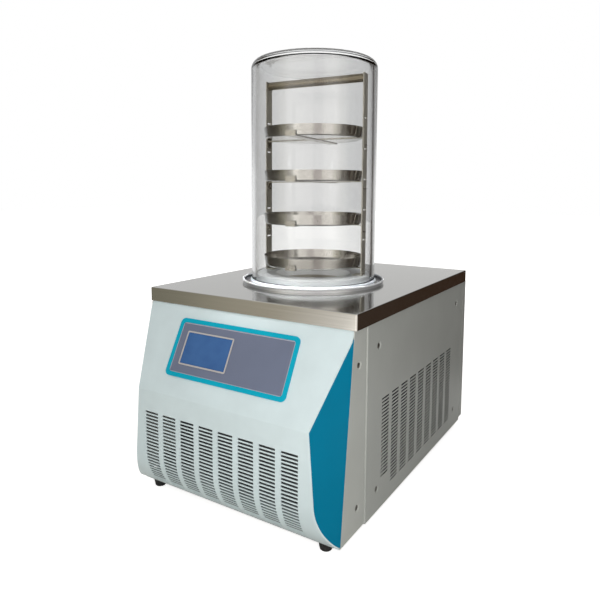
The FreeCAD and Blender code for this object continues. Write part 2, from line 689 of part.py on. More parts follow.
def make_back_panel():
    """Back cover, a shallow pan behind the side panels, with exhaust slots and fitting openings."""
    on = body("back_panel")
    profile = sketch(on, "XZ_Plane", "-(back_sheet)")
    rectangle(profile, "-panel_face", "panel_face", "panel_bottom + cover_foot", "rim_level")
    pad(on, profile, "cover_depth")
    corners = edges(on.Shape, lambda p: near(abs(p.x), "panel_face") and near(p.y, "back_sheet"))
    round_off(on, corners, "panel_bend")
    hollow = sketch(on, "XZ_Plane", "-(case_back)")
    inside = "panel_face - panel_gauge"
    rectangle(hollow, "-(%s)" % inside, inside, "panel_bottom - cover_foot", "rim_level - panel_gauge")
    pocket(on, hollow, "cover_depth - panel_gauge")
    holes = sketch(on, "XZ_Plane", "-(back_sheet)")
    for u, v, radius in (("port_x", "port_level", "port_tube + 0.3"),
                         ("-drain_x", "drain_level", "drain_pipe + 0.3"),
                         ("-vent_x", "vent_level", "drain_pipe + 0.3")):
        circle(holes, u, v, radius)
    for level, wide, high in (("inlet_level", "inlet_width - 8", "inlet_height - 6"),
                              ("outlet_level", "inlet_width - 8", "inlet_height - 6"),
                              ("switch_level", "switch_width - 2", "switch_height - 2")):
        rectangle(holes, "inlet_x - (%s) / 2" % wide, "inlet_x + (%s) / 2" % wide,
                  "%s - (%s) / 2" % (level, high), "%s + (%s) / 2" % (level, high))
    pocket(on, holes, "panel_gauge * 3", both=True)
    vent = sketch(on, "XZ_Plane", "-(back_sheet)")
    left = "-shell_x - back_column_pitch * (back_slot_columns - 1) / 2 - side_slot_length / 2"
    top = "shell_floor + shell_height / 2"
    rectangle(vent, left, "%s + side_slot_length" % left, "%s - slot_height" % top, top)
    made = pocket(on, vent, "panel_gauge * 3", both=True)
    pattern(on, made, vent, "V_Axis", "-back_slot_pitch * (back_slot_rows - 1)", "back_slot_rows",
            "H_Axis", "back_column_pitch * (back_slot_columns - 1)", "back_slot_columns")


def screw_shape():
    """Domed screw along +X, its head's underside at the origin."""
    head, dome = num("screw_head"), num("screw_dome")
    radius = (head ** 2 + dome ** 2) / (2 * dome)
    ball = Part.makeSphere(radius, FreeCAD.Vector(dome - radius, 0, 0))
    slab = Part.makeBox(dome * 2, head * 3, head * 3, FreeCAD.Vector(0, -head * 1.5, -head * 1.5))
    shank = Part.makeCylinder(num("screw_shank"), num("screw_length"), FreeCAD.Vector(0, 0, 0),
                              FreeCAD.Vector(-1, 0, 0))
    return ball.common(slab).fuse(shank)


def make_screws():
    """Case screws of both sides, all alike, each seated in its sheet's dimple."""
    master = screw_shape()
    solids = []
    for face, y, levels in SCREW_ROWS.values():
        for level in levels:
            for side in (1, -1):
                copy = master.copy()
                spot = vec("%s(%s - dimple_depth)" % ("" if side > 0 else "-", face), y, level)
                turned = FreeCAD.Rotation(FreeCAD.Vector(0, 0, 1), 0 if side > 0 else 180)
                copy.Placement = FreeCAD.Placement(spot, turned)
                solids.append(copy)
    node(shaped("case_screws", Part.makeCompound(solids)), "case_screws")


# ---------------------------------------------------------------- chamber and cold trap

def turned(label, points):
    """Round piece about the chamber's axis, from its half section."""
    on = body(label)
    outline(sketch(on, "XZ_Plane"), points)
    turn(on, on.Group[-1])
    place(on, 0, "jar_y")
    return on


def make_trap():
    """Cold trap bucket with its lip, the foam round it, the seal ring and the gasket."""
    outer = "(trap_radius + trap_wall)"
    low = "(trap_floor - trap_wall)"
    bucket = turned("trap_bucket", [
        ("0", low), ("%s - trap_round" % outer, low, ("%s - trap_round" % outer, "%s + trap_round" % low)),
        ("~" + outer, "%s + trap_round" % low), (outer, "plate_top"), ("gasket_outer", "plate_top"),
        ("gasket_outer", "trap_lip"), ("trap_radius", "trap_lip"),
        ("trap_radius", "%s + trap_round" % low, ("%s - trap_round" % outer, "%s + trap_round" % low)),
        ("%s - trap_round" % outer, "~trap_floor"), ("0", "trap_floor")])
    holes = sketch(bucket, "XZ_Plane")
    circle(holes, "port_x", "port_level", "port_tube + 0.2")
    pocket(bucket, holes, "trap_radius * 2", back=False)
    drain = sketch(bucket, "XY_Plane", "trap_floor + 1")
    circle(drain, "-drain_x", "trap_radius / 2", "drain_pipe + 0.2")
    pocket(bucket, drain, "trap_wall * 3")
    foam = turned("trap_insulation", [
        ("0", "foam_floor"), ("foam_radius", "foam_floor"), ("foam_radius", "under_plate"),
        ("%s + foam_gap" % outer, "under_plate"), ("%s + foam_gap" % outer, "%s - foam_gap" % low),
        ("0", "%s - foam_gap" % low)])
    holes = sketch(foam, "XZ_Plane")
    circle(holes, "port_x", "port_level", "port_tube + 0.2")
    pocket(foam, holes, "foam_radius * 2", back=False)
    drain = sketch(foam, "XY_Plane", "%s + foam_gap" % low)
    circle(drain, "-drain_x", "trap_radius / 2", "drain_pipe + 0.2")
    pocket(foam, drain, "foam_thick * 2")
    turned("chamber_gasket", [("gasket_inner", "trap_lip"), ("gasket_outer", "trap_lip"),
                              ("gasket_outer", "trap_lip + gasket_thick * 0.6"),
                              ("gasket_outer - gasket_thick * 0.4", "jar_foot"),
                              ("gasket_inner", "jar_foot")])
    ring_in = "gasket_outer + 1"
    bead = ("ring_outer - ring_bead", "plate_top + ring_height - ring_bead")
    wall = ("%s - ring_gauge / 2" % bead[0], "%s + ring_gauge / 2" % bead[0])
    ring = turned("seal_ring", [(ring_in, "plate_top"), (wall[1], "plate_top"), (wall[1], bead[1]),
                                (wall[0], bead[1]),
                                (wall[0], "plate_top + ring_gauge"), (ring_in, "plate_top + ring_gauge")])
    rolled = sketch(ring, "XZ_Plane")
    circle(rolled, bead[0], bead[1], "ring_bead")
    turn(ring, rolled)


def edge_circles(shape, level):
    return ["Edge%d" % i for i, e in enumerate(shape.Edges, start=1)
            if near(e.BoundBox.ZMin, level) and near(e.BoundBox.ZMax, level)]


def make_chamber():
    """Clear acrylic cover: a tube with a thick disc bonded on, its top edge turned round."""
    inner = "jar_radius - jar_wall"
    top = "jar_foot + jar_height"
    roof = "%s - jar_top" % top
    turned("chamber_cover", [
        (inner, "jar_foot"), ("jar_radius", "jar_foot"),
        ("jar_radius", "%s - jar_round" % top, ("jar_radius - jar_round", "%s - jar_round" % top)),
        ("jar_radius - jar_round", "~" + top), ("0", top), ("0", roof),
        ("%s - jar_fillet" % inner, roof, ("%s - jar_fillet" % inner, "%s - jar_fillet" % roof)),
        ("~" + inner, "%s - jar_fillet" % roof)])


def make_rack():
    """Rack that stands on a plastic ring in the trap's mouth: uprights, handle, shelves and trays."""
    base = turned("rack_base", [("disc_bore", "trap_lip"), ("disc_radius", "trap_lip"),
                                ("disc_radius", "disc_top"),
                                ("disc_bore", "disc_top")])
    round_off(base, [n for n in edge_circles(base.Shape, "disc_top")], "2")
    levels = ["plate_top + tray_low + %d * tray_pitch" % i for i in range(4)]
    for side, word in ((1, "right"), (-1, "left")):
        on = body("rack_upright_" + word)
        sign = "" if side > 0 else "-"
        profile = sketch(on, "XZ_Plane")
        out = "rack_half + upright_gauge / 2"
        into = "rack_half - upright_gauge / 2"
        shape = [(out, "disc_top"), (out, "rack_top"), (into, "rack_top"),
                 (into, "disc_top + upright_gauge"),
                 ("%s - upright_foot" % into, "disc_top + upright_gauge"),
                 ("%s - upright_foot" % into, "disc_top")]
        outline(profile, [("%s(%s)" % (sign, u), v) for u, v in shape])
        pad(on, profile, "upright_width", both=True)
        hooks = sketch(on, "YZ_Plane")
        for level in levels:
            middle = "%s - shelf_gauge - shelf_hook" % level
            rectangle(hooks, "-(shelf_width / 2 + 0.5)", "shelf_width / 2 + 0.5", middle,
                      "%s + rack_slot_height" % middle)
        spare = "disc_top + rack_slot_first"
        for k in range(int(num("rack_slots"))):
            rectangle(hooks, "-(shelf_width / 2 + 0.5)", "shelf_width / 2 + 0.5",
                      "%s + %d * rack_slot_pitch" % (spare, k),
                      "%s + %d * rack_slot_pitch + rack_slot_height" % (spare, k))
        pocket(on, hooks, "rack_half * 3", both=True)
        turn_rack(on)
    handle = cut("rack_handle", rod("handle_outer", "X", "handle_radius", "2 * rack_half - upright_gauge",
                                    "-(rack_half - upright_gauge / 2)", 0, "rack_top - handle_radius"),
                 [rod("handle_inner", "X", "handle_radius - handle_wall", "2 * rack_half", "-rack_half", 0,
                      "rack_top - handle_radius")])
    turn_rack(node(handle, "rack_handle"))
    for i, level in enumerate(levels, start=1):
        make_shelf(i, level)
        make_tray(i, level)


def turn_rack(thing):
    """Stand a piece of the rack on the chamber's axis, turned as the rack is."""
    thing.Placement = FreeCAD.Placement(FreeCAD.Vector(), FreeCAD.Rotation(FreeCAD.Vector(0, 0, 1),
                                                                           num("rack_turn")))
    place(thing, 0, "jar_y")


def make_shelf(i, level):
    """Spring-steel cross: one strip hooks into the uprights, the other turns up round the tray."""
    on = body("shelf_%d" % i)
    profile = sketch(on, "XZ_Plane")
    end = "rack_half - upright_gauge / 2 - shelf_gap"
    top, low = level, "%s - shelf_gauge" % level
    hook = "%s - shelf_hook" % low
    tongue = "rack_half + upright_gauge / 2 + 1.5"
    outline(profile, [("-(%s)" % end, top), (end, top), (end, "%s + shelf_gauge" % hook),
                      (tongue, "%s + shelf_gauge" % hook),
                      (tongue, hook), ("%s - shelf_gauge" % end, hook), ("%s - shelf_gauge" % end, low),
                      ("-(%s - shelf_gauge)" % end, low), ("-(%s - shelf_gauge)" % end, hook),
                      ("-(%s)" % tongue, hook),
                      ("-(%s)" % tongue, "%s + shelf_gauge" % hook),
                      ("-(%s)" % end, "%s + shelf_gauge" % hook)])
    pad(on, profile, "shelf_width", both=True)
    cross = sketch(on, "YZ_Plane")
    tip = "tray_radius + shelf_gap + shelf_gauge"
    outline(cross, [("-(%s)" % tip, "%s + shelf_tab" % top), ("-(%s)" % tip, low), (tip, low),
                    (tip, "%s + shelf_tab" % top),
                    ("%s - shelf_gauge" % tip, "%s + shelf_tab" % top), ("%s - shelf_gauge" % tip, top),
                    ("-(%s - shelf_gauge)" % tip, top), ("-(%s - shelf_gauge)" % tip,
                                                         "%s + shelf_tab" % top)])
    pad(on, cross, "shelf_cross", both=True)
    turn_rack(on)


def make_tray(i, level):
    """Round stainless tray with a tapered wall and a rounded foot."""
    foot = "tray_radius - tray_taper - tray_round"
    turned("tray_%d" % i, [
        ("0", level), (foot, level, (foot, "%s + tray_round" % level)),
        ("~tray_radius - tray_taper", "%s + tray_round" % level),
        ("tray_radius", "%s + tray_height" % level), ("tray_radius - tray_wall",
                                                      "%s + tray_height" % level),
        ("tray_radius - tray_taper - tray_wall", "%s + tray_round" % level,
         (foot, "%s + tray_round" % level)),
        (foot, "~%s + tray_wall" % level), ("0", "%s + tray_wall" % level)])


# ---------------------------------------------------------------- refrigeration

def make_condenser():
    """Finned condenser behind the grille, with its end plates and return bends."""
    half = "core_width / 2"
    core = block("core_fins", "-(%s)" % half, half, "core_front + 4", "core_front + core_depth - 4",
                 "core_floor + 4",
                 "core_floor + core_height - 4")
    plates = [block("core_plate_%s" % w, x, "%s + box_gauge" % x, "core_front", "core_front + core_depth",
                    "core_floor",
                    "core_floor + core_height") for w, x in (("left", "-(%s) - box_gauge" % half),
                                                             ("right", half))]
    bends = []
    for k in range(4):
        level = "core_floor + core_height * %g" % (0.14 + 0.24 * k)
        for word, x in (("left", "-(%s) - box_gauge - 8" % half), ("right", "%s + box_gauge" % half)):
            bends.append(block("core_bend_%s_%d" % (word, k), x, "%s + 8" % x,
                               "core_front + core_depth / 2 - line_radius",
                               "core_front + core_depth / 2 + line_radius", level, "%s + 20" % level))
    feet = [block("core_foot_%s" % w, x, "%s + 24" % x, "core_front", "core_front + core_depth",
                  "base_floor", "core_floor")
            for w, x in (("left", "-(%s) - box_gauge" % half), ("right", "%s + box_gauge - 24" % half))]
    node(group("condenser", [core] + plates + bends + feet), "condenser")


def make_fan():
    """Shroud, motor on its three-armed bracket, and the rotor on its shaft."""
    half = "core_width / 2"
    plate = block("shroud_plate", "-(%s)" % half, half, "shroud_y", "shroud_y + shroud_gauge", "base_floor",
                  "core_floor + core_height")
    lips = [block("shroud_lip_%s" % w, x, "%s + shroud_gauge" % x, "core_front + core_depth + sheet_gap",
                  "shroud_y + shroud_gauge",
                  "base_floor", "core_floor + core_height")
            for w, x in (("left", "-(%s)" % half), ("right", "%s - shroud_gauge" % half))]
    hole = rod("shroud_hole", "Y", "fan_hole", "40", 0, "shroud_y - 20", "fan_level")
    node(cut("fan_shroud", group("shroud_sheet", [plate] + lips), [hole]), "fan_shroud")
    motor_front = "shroud_y + shroud_gauge + hub_depth + 3"
    can = rod("motor_can", "Y", "motor_radius", "motor_depth", 0, motor_front, "fan_level")
    bore = rod("motor_bore", "Y", "shaft_radius + shaft_fit", "motor_depth * 0.8", 0,
               "%s - 1" % motor_front, "fan_level")
    node(cut("fan_motor", can, [bore]), "fan_motor")
    rear = "%s + motor_depth" % motor_front
    disc = rod("bracket_disc", "Y", "motor_radius - 4", "arm_gauge", 0, rear, "fan_level")
    reach = "fan_hole + 8"
    bars = [block("bracket_bar", "-(%s)" % reach, reach, rear, "%s + arm_gauge" % rear,
                  "fan_level - arm_width / 2",
                  "fan_level + arm_width / 2")]
    for word, x in (("left", "-(%s)" % reach), ("right", "%s - arm_gauge" % reach)):
        bars.append(block("bracket_leg_" + word, x, "%s + arm_gauge" % x, "shroud_y + shroud_gauge",
                          "%s + arm_gauge" % rear,
                          "fan_level - arm_width / 2", "fan_level + arm_width / 2"))
    node(group("fan_bracket", [disc] + bars), "fan_bracket")
    make_rotor(motor_front)


def make_rotor(motor_front):
    hub_y = "shroud_y + shroud_gauge"
    parts = [rod("hub", "Y", "hub_radius", "hub_depth", 0, hub_y, "fan_level"),
             rod("shaft", "Y", "shaft_radius", "%s + motor_depth * 0.6 - (%s)" % (motor_front, hub_y), 0,
                 hub_y, "fan_level")]
    span = num("fan_radius - hub_radius + 4")
    for k in range(int(num("fan_blades"))):
        blade = doc.addObject("Part::Box", "blade_%d" % k)
        blade.setExpression("Length", ex("fan_radius - hub_radius + 4"))
        blade.setExpression("Width", ex("blade_gauge"))
        blade.setExpression("Height", ex("hub_depth * 1.5"))
        tilt = FreeCAD.Placement(FreeCAD.Vector(), FreeCAD.Rotation(FreeCAD.Vector(1, 0, 0),
                                                                    num("blade_pitch")))
        out = FreeCAD.Placement(vec("hub_radius - 4", "0", "0"), FreeCAD.Rotation())
        middle = FreeCAD.Placement(vec("0", "-blade_gauge / 2", "-hub_depth * 0.75"), FreeCAD.Rotation())
        spin = FreeCAD.Placement(vec("0", "%s + hub_depth / 2" % hub_y, "fan_level"),
                                 FreeCAD.Rotation(FreeCAD.Vector(0, 1, 0), 360.0 * k / num("fan_blades")))
        blade.Placement = spin.multiply(out).multiply(tilt).multiply(middle)
        parts.append(blade)
    node(group("fan_rotor", parts), "fan_rotor")


def make_compressor():
    """Welded compressor shell on four rubber mounts, with its terminal box."""
    on = body("compressor_shell", listed=False)
    profile = sketch(on, "XZ_Plane")
    top = "shell_floor + shell_height"
    outline(profile, [("0", "shell_floor"), ("shell_radius", "shell_floor"),
                      ("shell_radius", "%s - shell_round" % top,
                       ("shell_radius - shell_round", "%s - shell_round" % top)),
                      ("shell_radius - shell_round", "~" + top), ("0", top)])
    turn(on, profile)
    place(on, "-shell_x", "shell_y")
    plate = block("shell_plate_sheet", "-shell_x - mount_spread - 8", "-shell_x + mount_spread + 8",
                  "shell_y - mount_spread - 8",
                  "shell_y + mount_spread + 8", "shell_floor - shell_plate", "shell_floor")
    box = block("terminal_box", "-shell_x + shell_radius - 6", "-shell_x + shell_radius + 14",
                "shell_y - 18", "shell_y + 18",
                "shell_floor + 50", "shell_floor + 96")
    node(group("compressor", [on, plate, box]), "compressor")
    pads = []
    for i, (u, v) in enumerate((("-", "-"), ("", "-"), ("", ""), ("-", ""))):
        pads.append(rod("grommet_%d" % i, "Z", "mount_radius", "mount_height",
                        "-shell_x + %smount_spread" % u,
                        "shell_y + %smount_spread" % v, "base_floor"))
    node(compound("compressor_mounts", pads), "compressor_mounts")


def compound(name, parts):
    made = doc.addObject("Part::Compound", name)
    made.Links = parts
    return made


def tube_shape(points, radius, bend):
    """Round tube along straight runs joined by arcs."""
    made = []
    corners = [vec(*p) for p in points]
    start = corners[0]
    for i in range(1, len(corners)):
        here = corners[i]
        if i == len(corners) - 1:
            made.append(Part.LineSegment(start, here).toShape())
            break
        before = (here - corners[i - 1]).normalize()
        after = (corners[i + 1] - here).normalize()
        half = math.acos(max(-1, min(1, before.dot(after)))) / 2
        back = bend * math.tan(half)
        a, b = here - before * back, here + after * back
        towards = (after - before).normalize()
        centre = here + towards * (bend / math.cos(half))
        middle = centre - towards * bend
        made.append(Part.LineSegment(start, a).toShape())
        made.append(Part.Arc(a, middle, b).toShape())
        start = b
    path = Part.Wire(made)
    first = (corners[1] - corners[0]).normalize()
    ring = Part.Wire([Part.Circle(corners[0], first, radius).toShape()])
    return path.makePipeShell([ring], True, False)


def make_lines():
    """Copper lines: hot gas to the condenser, liquid through the drier, cold gas back from the trap."""
    r, bend = num("line_radius"), num("line_bend")
    shell_top = "shell_floor + shell_height"
    side, above = "-(foam_radius + 26)", "%s + 24" % shell_top
    core_y, inlet_z = "core_front + core_depth / 2", "core_floor + core_height * 0.86 + 4"
    hot = [("-shell_x - 20", "shell_y", shell_top), ("-shell_x - 20", "shell_y", above),
           (side, "shell_y", above),
           (side, core_y, above), (side, core_y, inlet_z), ("-(core_width / 2 + box_gauge + 8)", core_y,
                                                            inlet_z)]
    node(shaped("hot_gas_line", tube_shape(hot, r, bend)), "hot_gas_line")
    drier_z = "core_floor + core_height * 0.14 + 4"
    liquid = [("core_width / 2 + box_gauge + 8", "core_front + core_depth / 2", drier_z),
              ("foam_radius + 24", "core_front + core_depth / 2", drier_z),
              ("foam_radius + 24", "shroud_y + 40", drier_z)]
    node(shaped("liquid_line", tube_shape(liquid, r, bend)), "liquid_line")
    drier = rod("drier", "Y", "drier_radius", "drier_length", "foam_radius + 24", "shroud_y + 40", drier_z)
    node(drier, "filter_drier")
    capillary = [("foam_radius + 24", "shroud_y + 40 + drier_length", drier_z),
                 ("foam_radius + 24", "jar_y", drier_z),
                 ("foam_radius - 30", "jar_y", drier_z), ("foam_radius - 30", "jar_y", "foam_floor")]
    node(shaped("capillary_line", tube_shape(capillary, r * 0.6, bend)), "capillary_line")
    back = [("-shell_x", "jar_y + 40", "foam_floor"), ("-shell_x", "jar_y + 40", "foam_floor - 42"),
            ("-shell_x", "shell_y - shell_radius", "foam_floor - 42")]
    node(shaped("suction_line", tube_shape(back, r, bend)), "suction_line")


def make_electrical_box():
    """Closed steel box for the relays and the supply."""
    x0, y1 = "box_x - box_width / 2", "back_sheet - box_back"
    outer = block("box_outer", x0, "box_x + box_width / 2", "%s - box_depth" % y1, y1, "base_floor",
                  "base_floor + box_height")
    inner = block("box_inner", "%s + box_gauge" % x0, "box_x + box_width / 2 - box_gauge",
                  "%s - box_depth + box_gauge" % y1,
                  "%s - box_gauge" % y1, "base_floor + box_gauge", "base_floor + box_height - box_gauge")
    node(cut("electrical_box", outer, [inner]), "electrical_box")


# ---------------------------------------------------------------- back fittings

def bored(name, parts, bores):
    return cut(name, group(name + "_form", parts) if len(parts) > 1 else parts[0], bores)


def make_ports():
    """Vacuum port, drain with its lever valve, and vent with its knob."""
    end = "back_sheet + port_reach"
    inside = "jar_y + sqrt(trap_radius^2 - port_x^2) - 4"
    tube = rod("port_pipe", "Y", "port_tube", "%s - (%s)" % (end, inside), "port_x", inside, "port_level")
    flange = rod("port_rim", "Y", "port_flange", "port_flange_thick", "port_x",
                 "%s - port_flange_thick" % end, "port_level")
    bore = rod("port_hole", "Y", "port_bore", "%s - (%s) + 20" % (end, inside), "port_x",
               "%s - 10" % inside, "port_level")
    nut = rod("port_nut", "Y", "port_flange - 1", "port_flange_thick", "port_x", "back_sheet", "port_level")
    node(bored("vacuum_port", [tube, flange, nut], [bore]), "vacuum_port")
    path = [("-drain_x", "jar_y + trap_radius / 2", "trap_floor - trap_wall / 2"),
            ("-drain_x", "jar_y + trap_radius / 2", "drain_level"),
            ("-drain_x", "back_sheet", "drain_level")]
    node(shaped("drain_pipe", tube_shape(path, num("drain_pipe"), num("line_bend"))), "drain_pipe")
    start = "back_sheet"
    valve = rod("valve_barrel", "Y", "valve_radius", "valve_length", "-drain_x", start, "drain_level")
    neck = rod("valve_neck", "Z", "stem_radius + 2", "valve_radius + 2", "-drain_x",
               "%s + valve_length / 2" % start, "drain_level")
    barb = rod("valve_barb", "Y", "drain_pipe", "barb_length", "-drain_x", "%s + valve_length" % start,
               "drain_level")
    hole = rod("valve_hole", "Y", "drain_bore", "valve_length + barb_length + 4", "-drain_x",
               "%s - 2" % start, "drain_level")
    well = rod("valve_well", "Z", "stem_radius + shaft_fit", "20", "-drain_x",
               "%s + valve_length / 2" % start, "drain_level + drain_bore + 2")
    node(bored("drain_valve", [valve, neck, barb], [hole, well]), "drain_valve")
    stem_low = "drain_level + drain_bore + 3"
    lever_z = "drain_level + valve_radius + 3"
    stem = rod("lever_stem", "Z", "stem_radius", "%s - (%s) + 1" % (lever_z, stem_low), "-drain_x",
               "%s + valve_length / 2" % start, stem_low)
    lever = block("lever_bar", "-drain_x - handle_length", "-drain_x + handle_width / 2",
                  "%s + valve_length / 2 - handle_width / 2" % start,
                  "%s + valve_length / 2 + handle_width / 2" % start, lever_z,
                  "%s + handle_gauge" % lever_z)
    node(group("drain_lever", [stem, lever]), "drain_lever")
    vent = rod("vent_barrel", "Y", "vent_body", "vent_length", "-vent_x", start, "vent_level")
    tail = rod("vent_tail", "Y", "drain_pipe", "26", "-vent_x", "back_sheet - 26", "vent_level")
    hole = rod("vent_hole", "Y", "stem_radius + shaft_fit", "vent_length + 4", "-vent_x", "%s - 3" % start,
               "vent_level")
    node(bored("vent_valve", [vent, tail], [hole]), "vent_valve")
    knob = body("vent_knob")
    profile = sketch(knob, "XZ_Plane")
    circle(profile, "0", "0", "knob_radius")
    pad(knob, profile, "knob_depth", back=True)
    notch = sketch(knob, "XZ_Plane")
    circle(notch, "knob_radius * 1.15", "0", "knob_radius * 0.26")
    made = pocket(knob, notch, "knob_depth * 3", both=True)
    flutes = knob.newObject("PartDesign::PolarPattern", "knob_flutes")
    flutes.Originals = [made]
    flutes.Axis = (notch, ["N_Axis"])
    flutes.Angle = 360
    flutes.Occurrences = 8
    knob.Tip = flutes
    doc.recompute()
    stem = sketch(knob, "XZ_Plane")
    circle(stem, "0", "0", "stem_radius")
    pad(knob, stem, "vent_length")
    place(knob, "-vent_x", "%s + vent_length + 0.4" % start, "vent_level")


def make_inlets():
    """Mains inlet, pump outlet and rocker switch in the back panel."""
    face = "back_sheet"
    for name, level in (("power_inlet", "inlet_level"), ("pump_outlet", "outlet_level")):
        rim = block(name + "_rim", "inlet_x - inlet_width / 2", "inlet_x + inlet_width / 2", "back_sheet",
                    "%s + inlet_face" % face,
                    "%s - inlet_height / 2" % level, "%s + inlet_height / 2" % level)
        shell = block(name + "_shell", "inlet_x - inlet_width / 2 + 4.3", "inlet_x + inlet_width / 2 - 4.3",
                      "back_sheet - inlet_depth",
                      "back_sheet", "%s - inlet_height / 2 + 3.3" % level,
                      "%s + inlet_height / 2 - 3.3" % level)
        well = block(name + "_well", "inlet_x - socket_width / 2", "inlet_x + socket_width / 2",
                     "%s + inlet_face - socket_depth" % face,
                     "%s + inlet_face + 1" % face, "%s - socket_height / 2" % level,
                     "%s + socket_height / 2" % level)
        socket = cut(name + "_socket", group(name + "_form", [rim, shell]), [well])
        pins = [block("%s_pin_%d" % (name, k), "inlet_x + %g - blade_width / 2" % dx,
                      "inlet_x + %g + blade_width / 2" % dx,
                      "%s + inlet_face - socket_depth - 1" % face, "%s - 2" % face,
                      "%s + %g - blade_height / 2" % (level, dz),
                      "%s + %g + blade_height / 2" % (level, dz)) for k,
                (dx, dz) in enumerate(((-7, -2), (7, -2), (0, 3)))]
        node(group(name, [socket] + pins) if name == "power_inlet" else socket, name)
    rim = block("switch_rim", "inlet_x - switch_width / 2", "inlet_x + switch_width / 2", "back_sheet",
                "%s + switch_face" % face,
                "switch_level - switch_height / 2", "switch_level + switch_height / 2")
    shell = block("switch_shell", "inlet_x - switch_width / 2 + 1.3", "inlet_x + switch_width / 2 - 1.3",
                  "back_sheet - inlet_depth",
                  "back_sheet", "switch_level - switch_height / 2 + 1.3",
                  "switch_level + switch_height / 2 - 1.3")
    well = block("switch_well", "inlet_x - switch_width / 2 + 3", "inlet_x + switch_width / 2 - 3",
                 "%s - 8" % face,
                 "%s + 10" % face, "switch_level - switch_height / 2 + 3",
                 "switch_level + switch_height / 2 - 3")
    pin_y = "%s - 1" % face
    seat = rod("switch_pin_seat", "X", "pin_radius + shaft_fit", "switch_width - 4",
               "inlet_x - switch_width / 2 + 2", pin_y,
               "switch_level")
    node(cut("switch_housing", group("switch_form", [rim, shell]), [well, seat]), "switch_housing")
    on = body("power_switch")
    profile = sketch(on, "YZ_Plane")
    half = "switch_height / 2 - 3 - rocker_gap"
    tilt = "tan(rocker_tilt) * (%s)" % half
    outline(profile, [("-3", "-(%s) * 0.5" % half), ("1.5 - (%s)" % tilt, "-(%s)" % half), ("2.2", "0"),
                      ("1.5 + %s" % tilt, half),
                      ("-3", "(%s) * 0.5" % half)])
    pad(on, profile, "switch_width - 6 - 2 * rocker_gap", both=True)
    pin = sketch(on, "YZ_Plane")
    circle(pin, "-1", "0", "pin_radius")
    pad(on, pin, "switch_width - 4.4", both=True)
    place(on, "inlet_x", face, "switch_level")


make_top_plate()
make_base_tray()
make_feet()
make_front()
make_display()
make_sides()
make_back_panel()
make_screws()
make_trap()
make_chamber()
make_rack()
make_condenser()
make_fan()
make_compressor()
make_lines()
make_electrical_box()
make_ports()
make_inlets()
doc.recompute()

for item in doc.Objects:
    if "Invalid" in item.State or "Error" in item.State:
        raise RuntimeError("%s failed to build" % item.Label)
for thing in NODES:
    if thing.Shape.isNull() or not thing.Shape.isValid():
        raise RuntimeError("%s has no valid shape" % thing.Label)

os.makedirs("parts", exist_ok=True)
for thing in NODES:
    thing.Shape.exportStep("parts/%s.step" % thing.Label)
print("%d nodes" % len(NODES))
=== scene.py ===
import bmesh
import bpy
import math
from mathutils import Matrix, Vector


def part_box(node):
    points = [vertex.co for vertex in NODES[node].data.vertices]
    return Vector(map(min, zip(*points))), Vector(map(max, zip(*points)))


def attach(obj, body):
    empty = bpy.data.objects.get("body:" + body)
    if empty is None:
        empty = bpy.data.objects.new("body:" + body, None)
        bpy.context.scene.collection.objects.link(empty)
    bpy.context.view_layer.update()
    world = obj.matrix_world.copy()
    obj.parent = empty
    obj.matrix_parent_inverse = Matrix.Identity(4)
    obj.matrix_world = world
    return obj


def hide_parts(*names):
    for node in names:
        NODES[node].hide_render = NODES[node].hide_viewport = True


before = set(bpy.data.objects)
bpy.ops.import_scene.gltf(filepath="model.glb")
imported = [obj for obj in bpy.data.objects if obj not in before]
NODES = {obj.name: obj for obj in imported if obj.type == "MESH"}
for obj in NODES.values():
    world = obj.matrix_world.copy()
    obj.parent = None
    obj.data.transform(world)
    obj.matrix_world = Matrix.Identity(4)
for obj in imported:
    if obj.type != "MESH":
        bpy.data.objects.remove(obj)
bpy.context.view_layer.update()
MM = 0.001

# Places read from the frame.
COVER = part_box("chamber_cover")
AXIS = (COVER[0] + COVER[1]) / 2
PLATE_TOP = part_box("top_plate")[1].z
PANEL_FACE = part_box("side_panel_right")[1].x
LOWEST_SHELF = min(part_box("shelf_%d" % i)[0].z for i in range(1, 5))

# The side panels' slots lie between these two places in depth.
SLOTS_FROM, SLOTS_TO = -0.15, 0.225

# How closely a steel's grain changes, for each metre across it and along it.
GRAIN_ACROSS, GRAIN_ALONG = 1500, 6


# ---------------------------------------------------------------- shader helpers

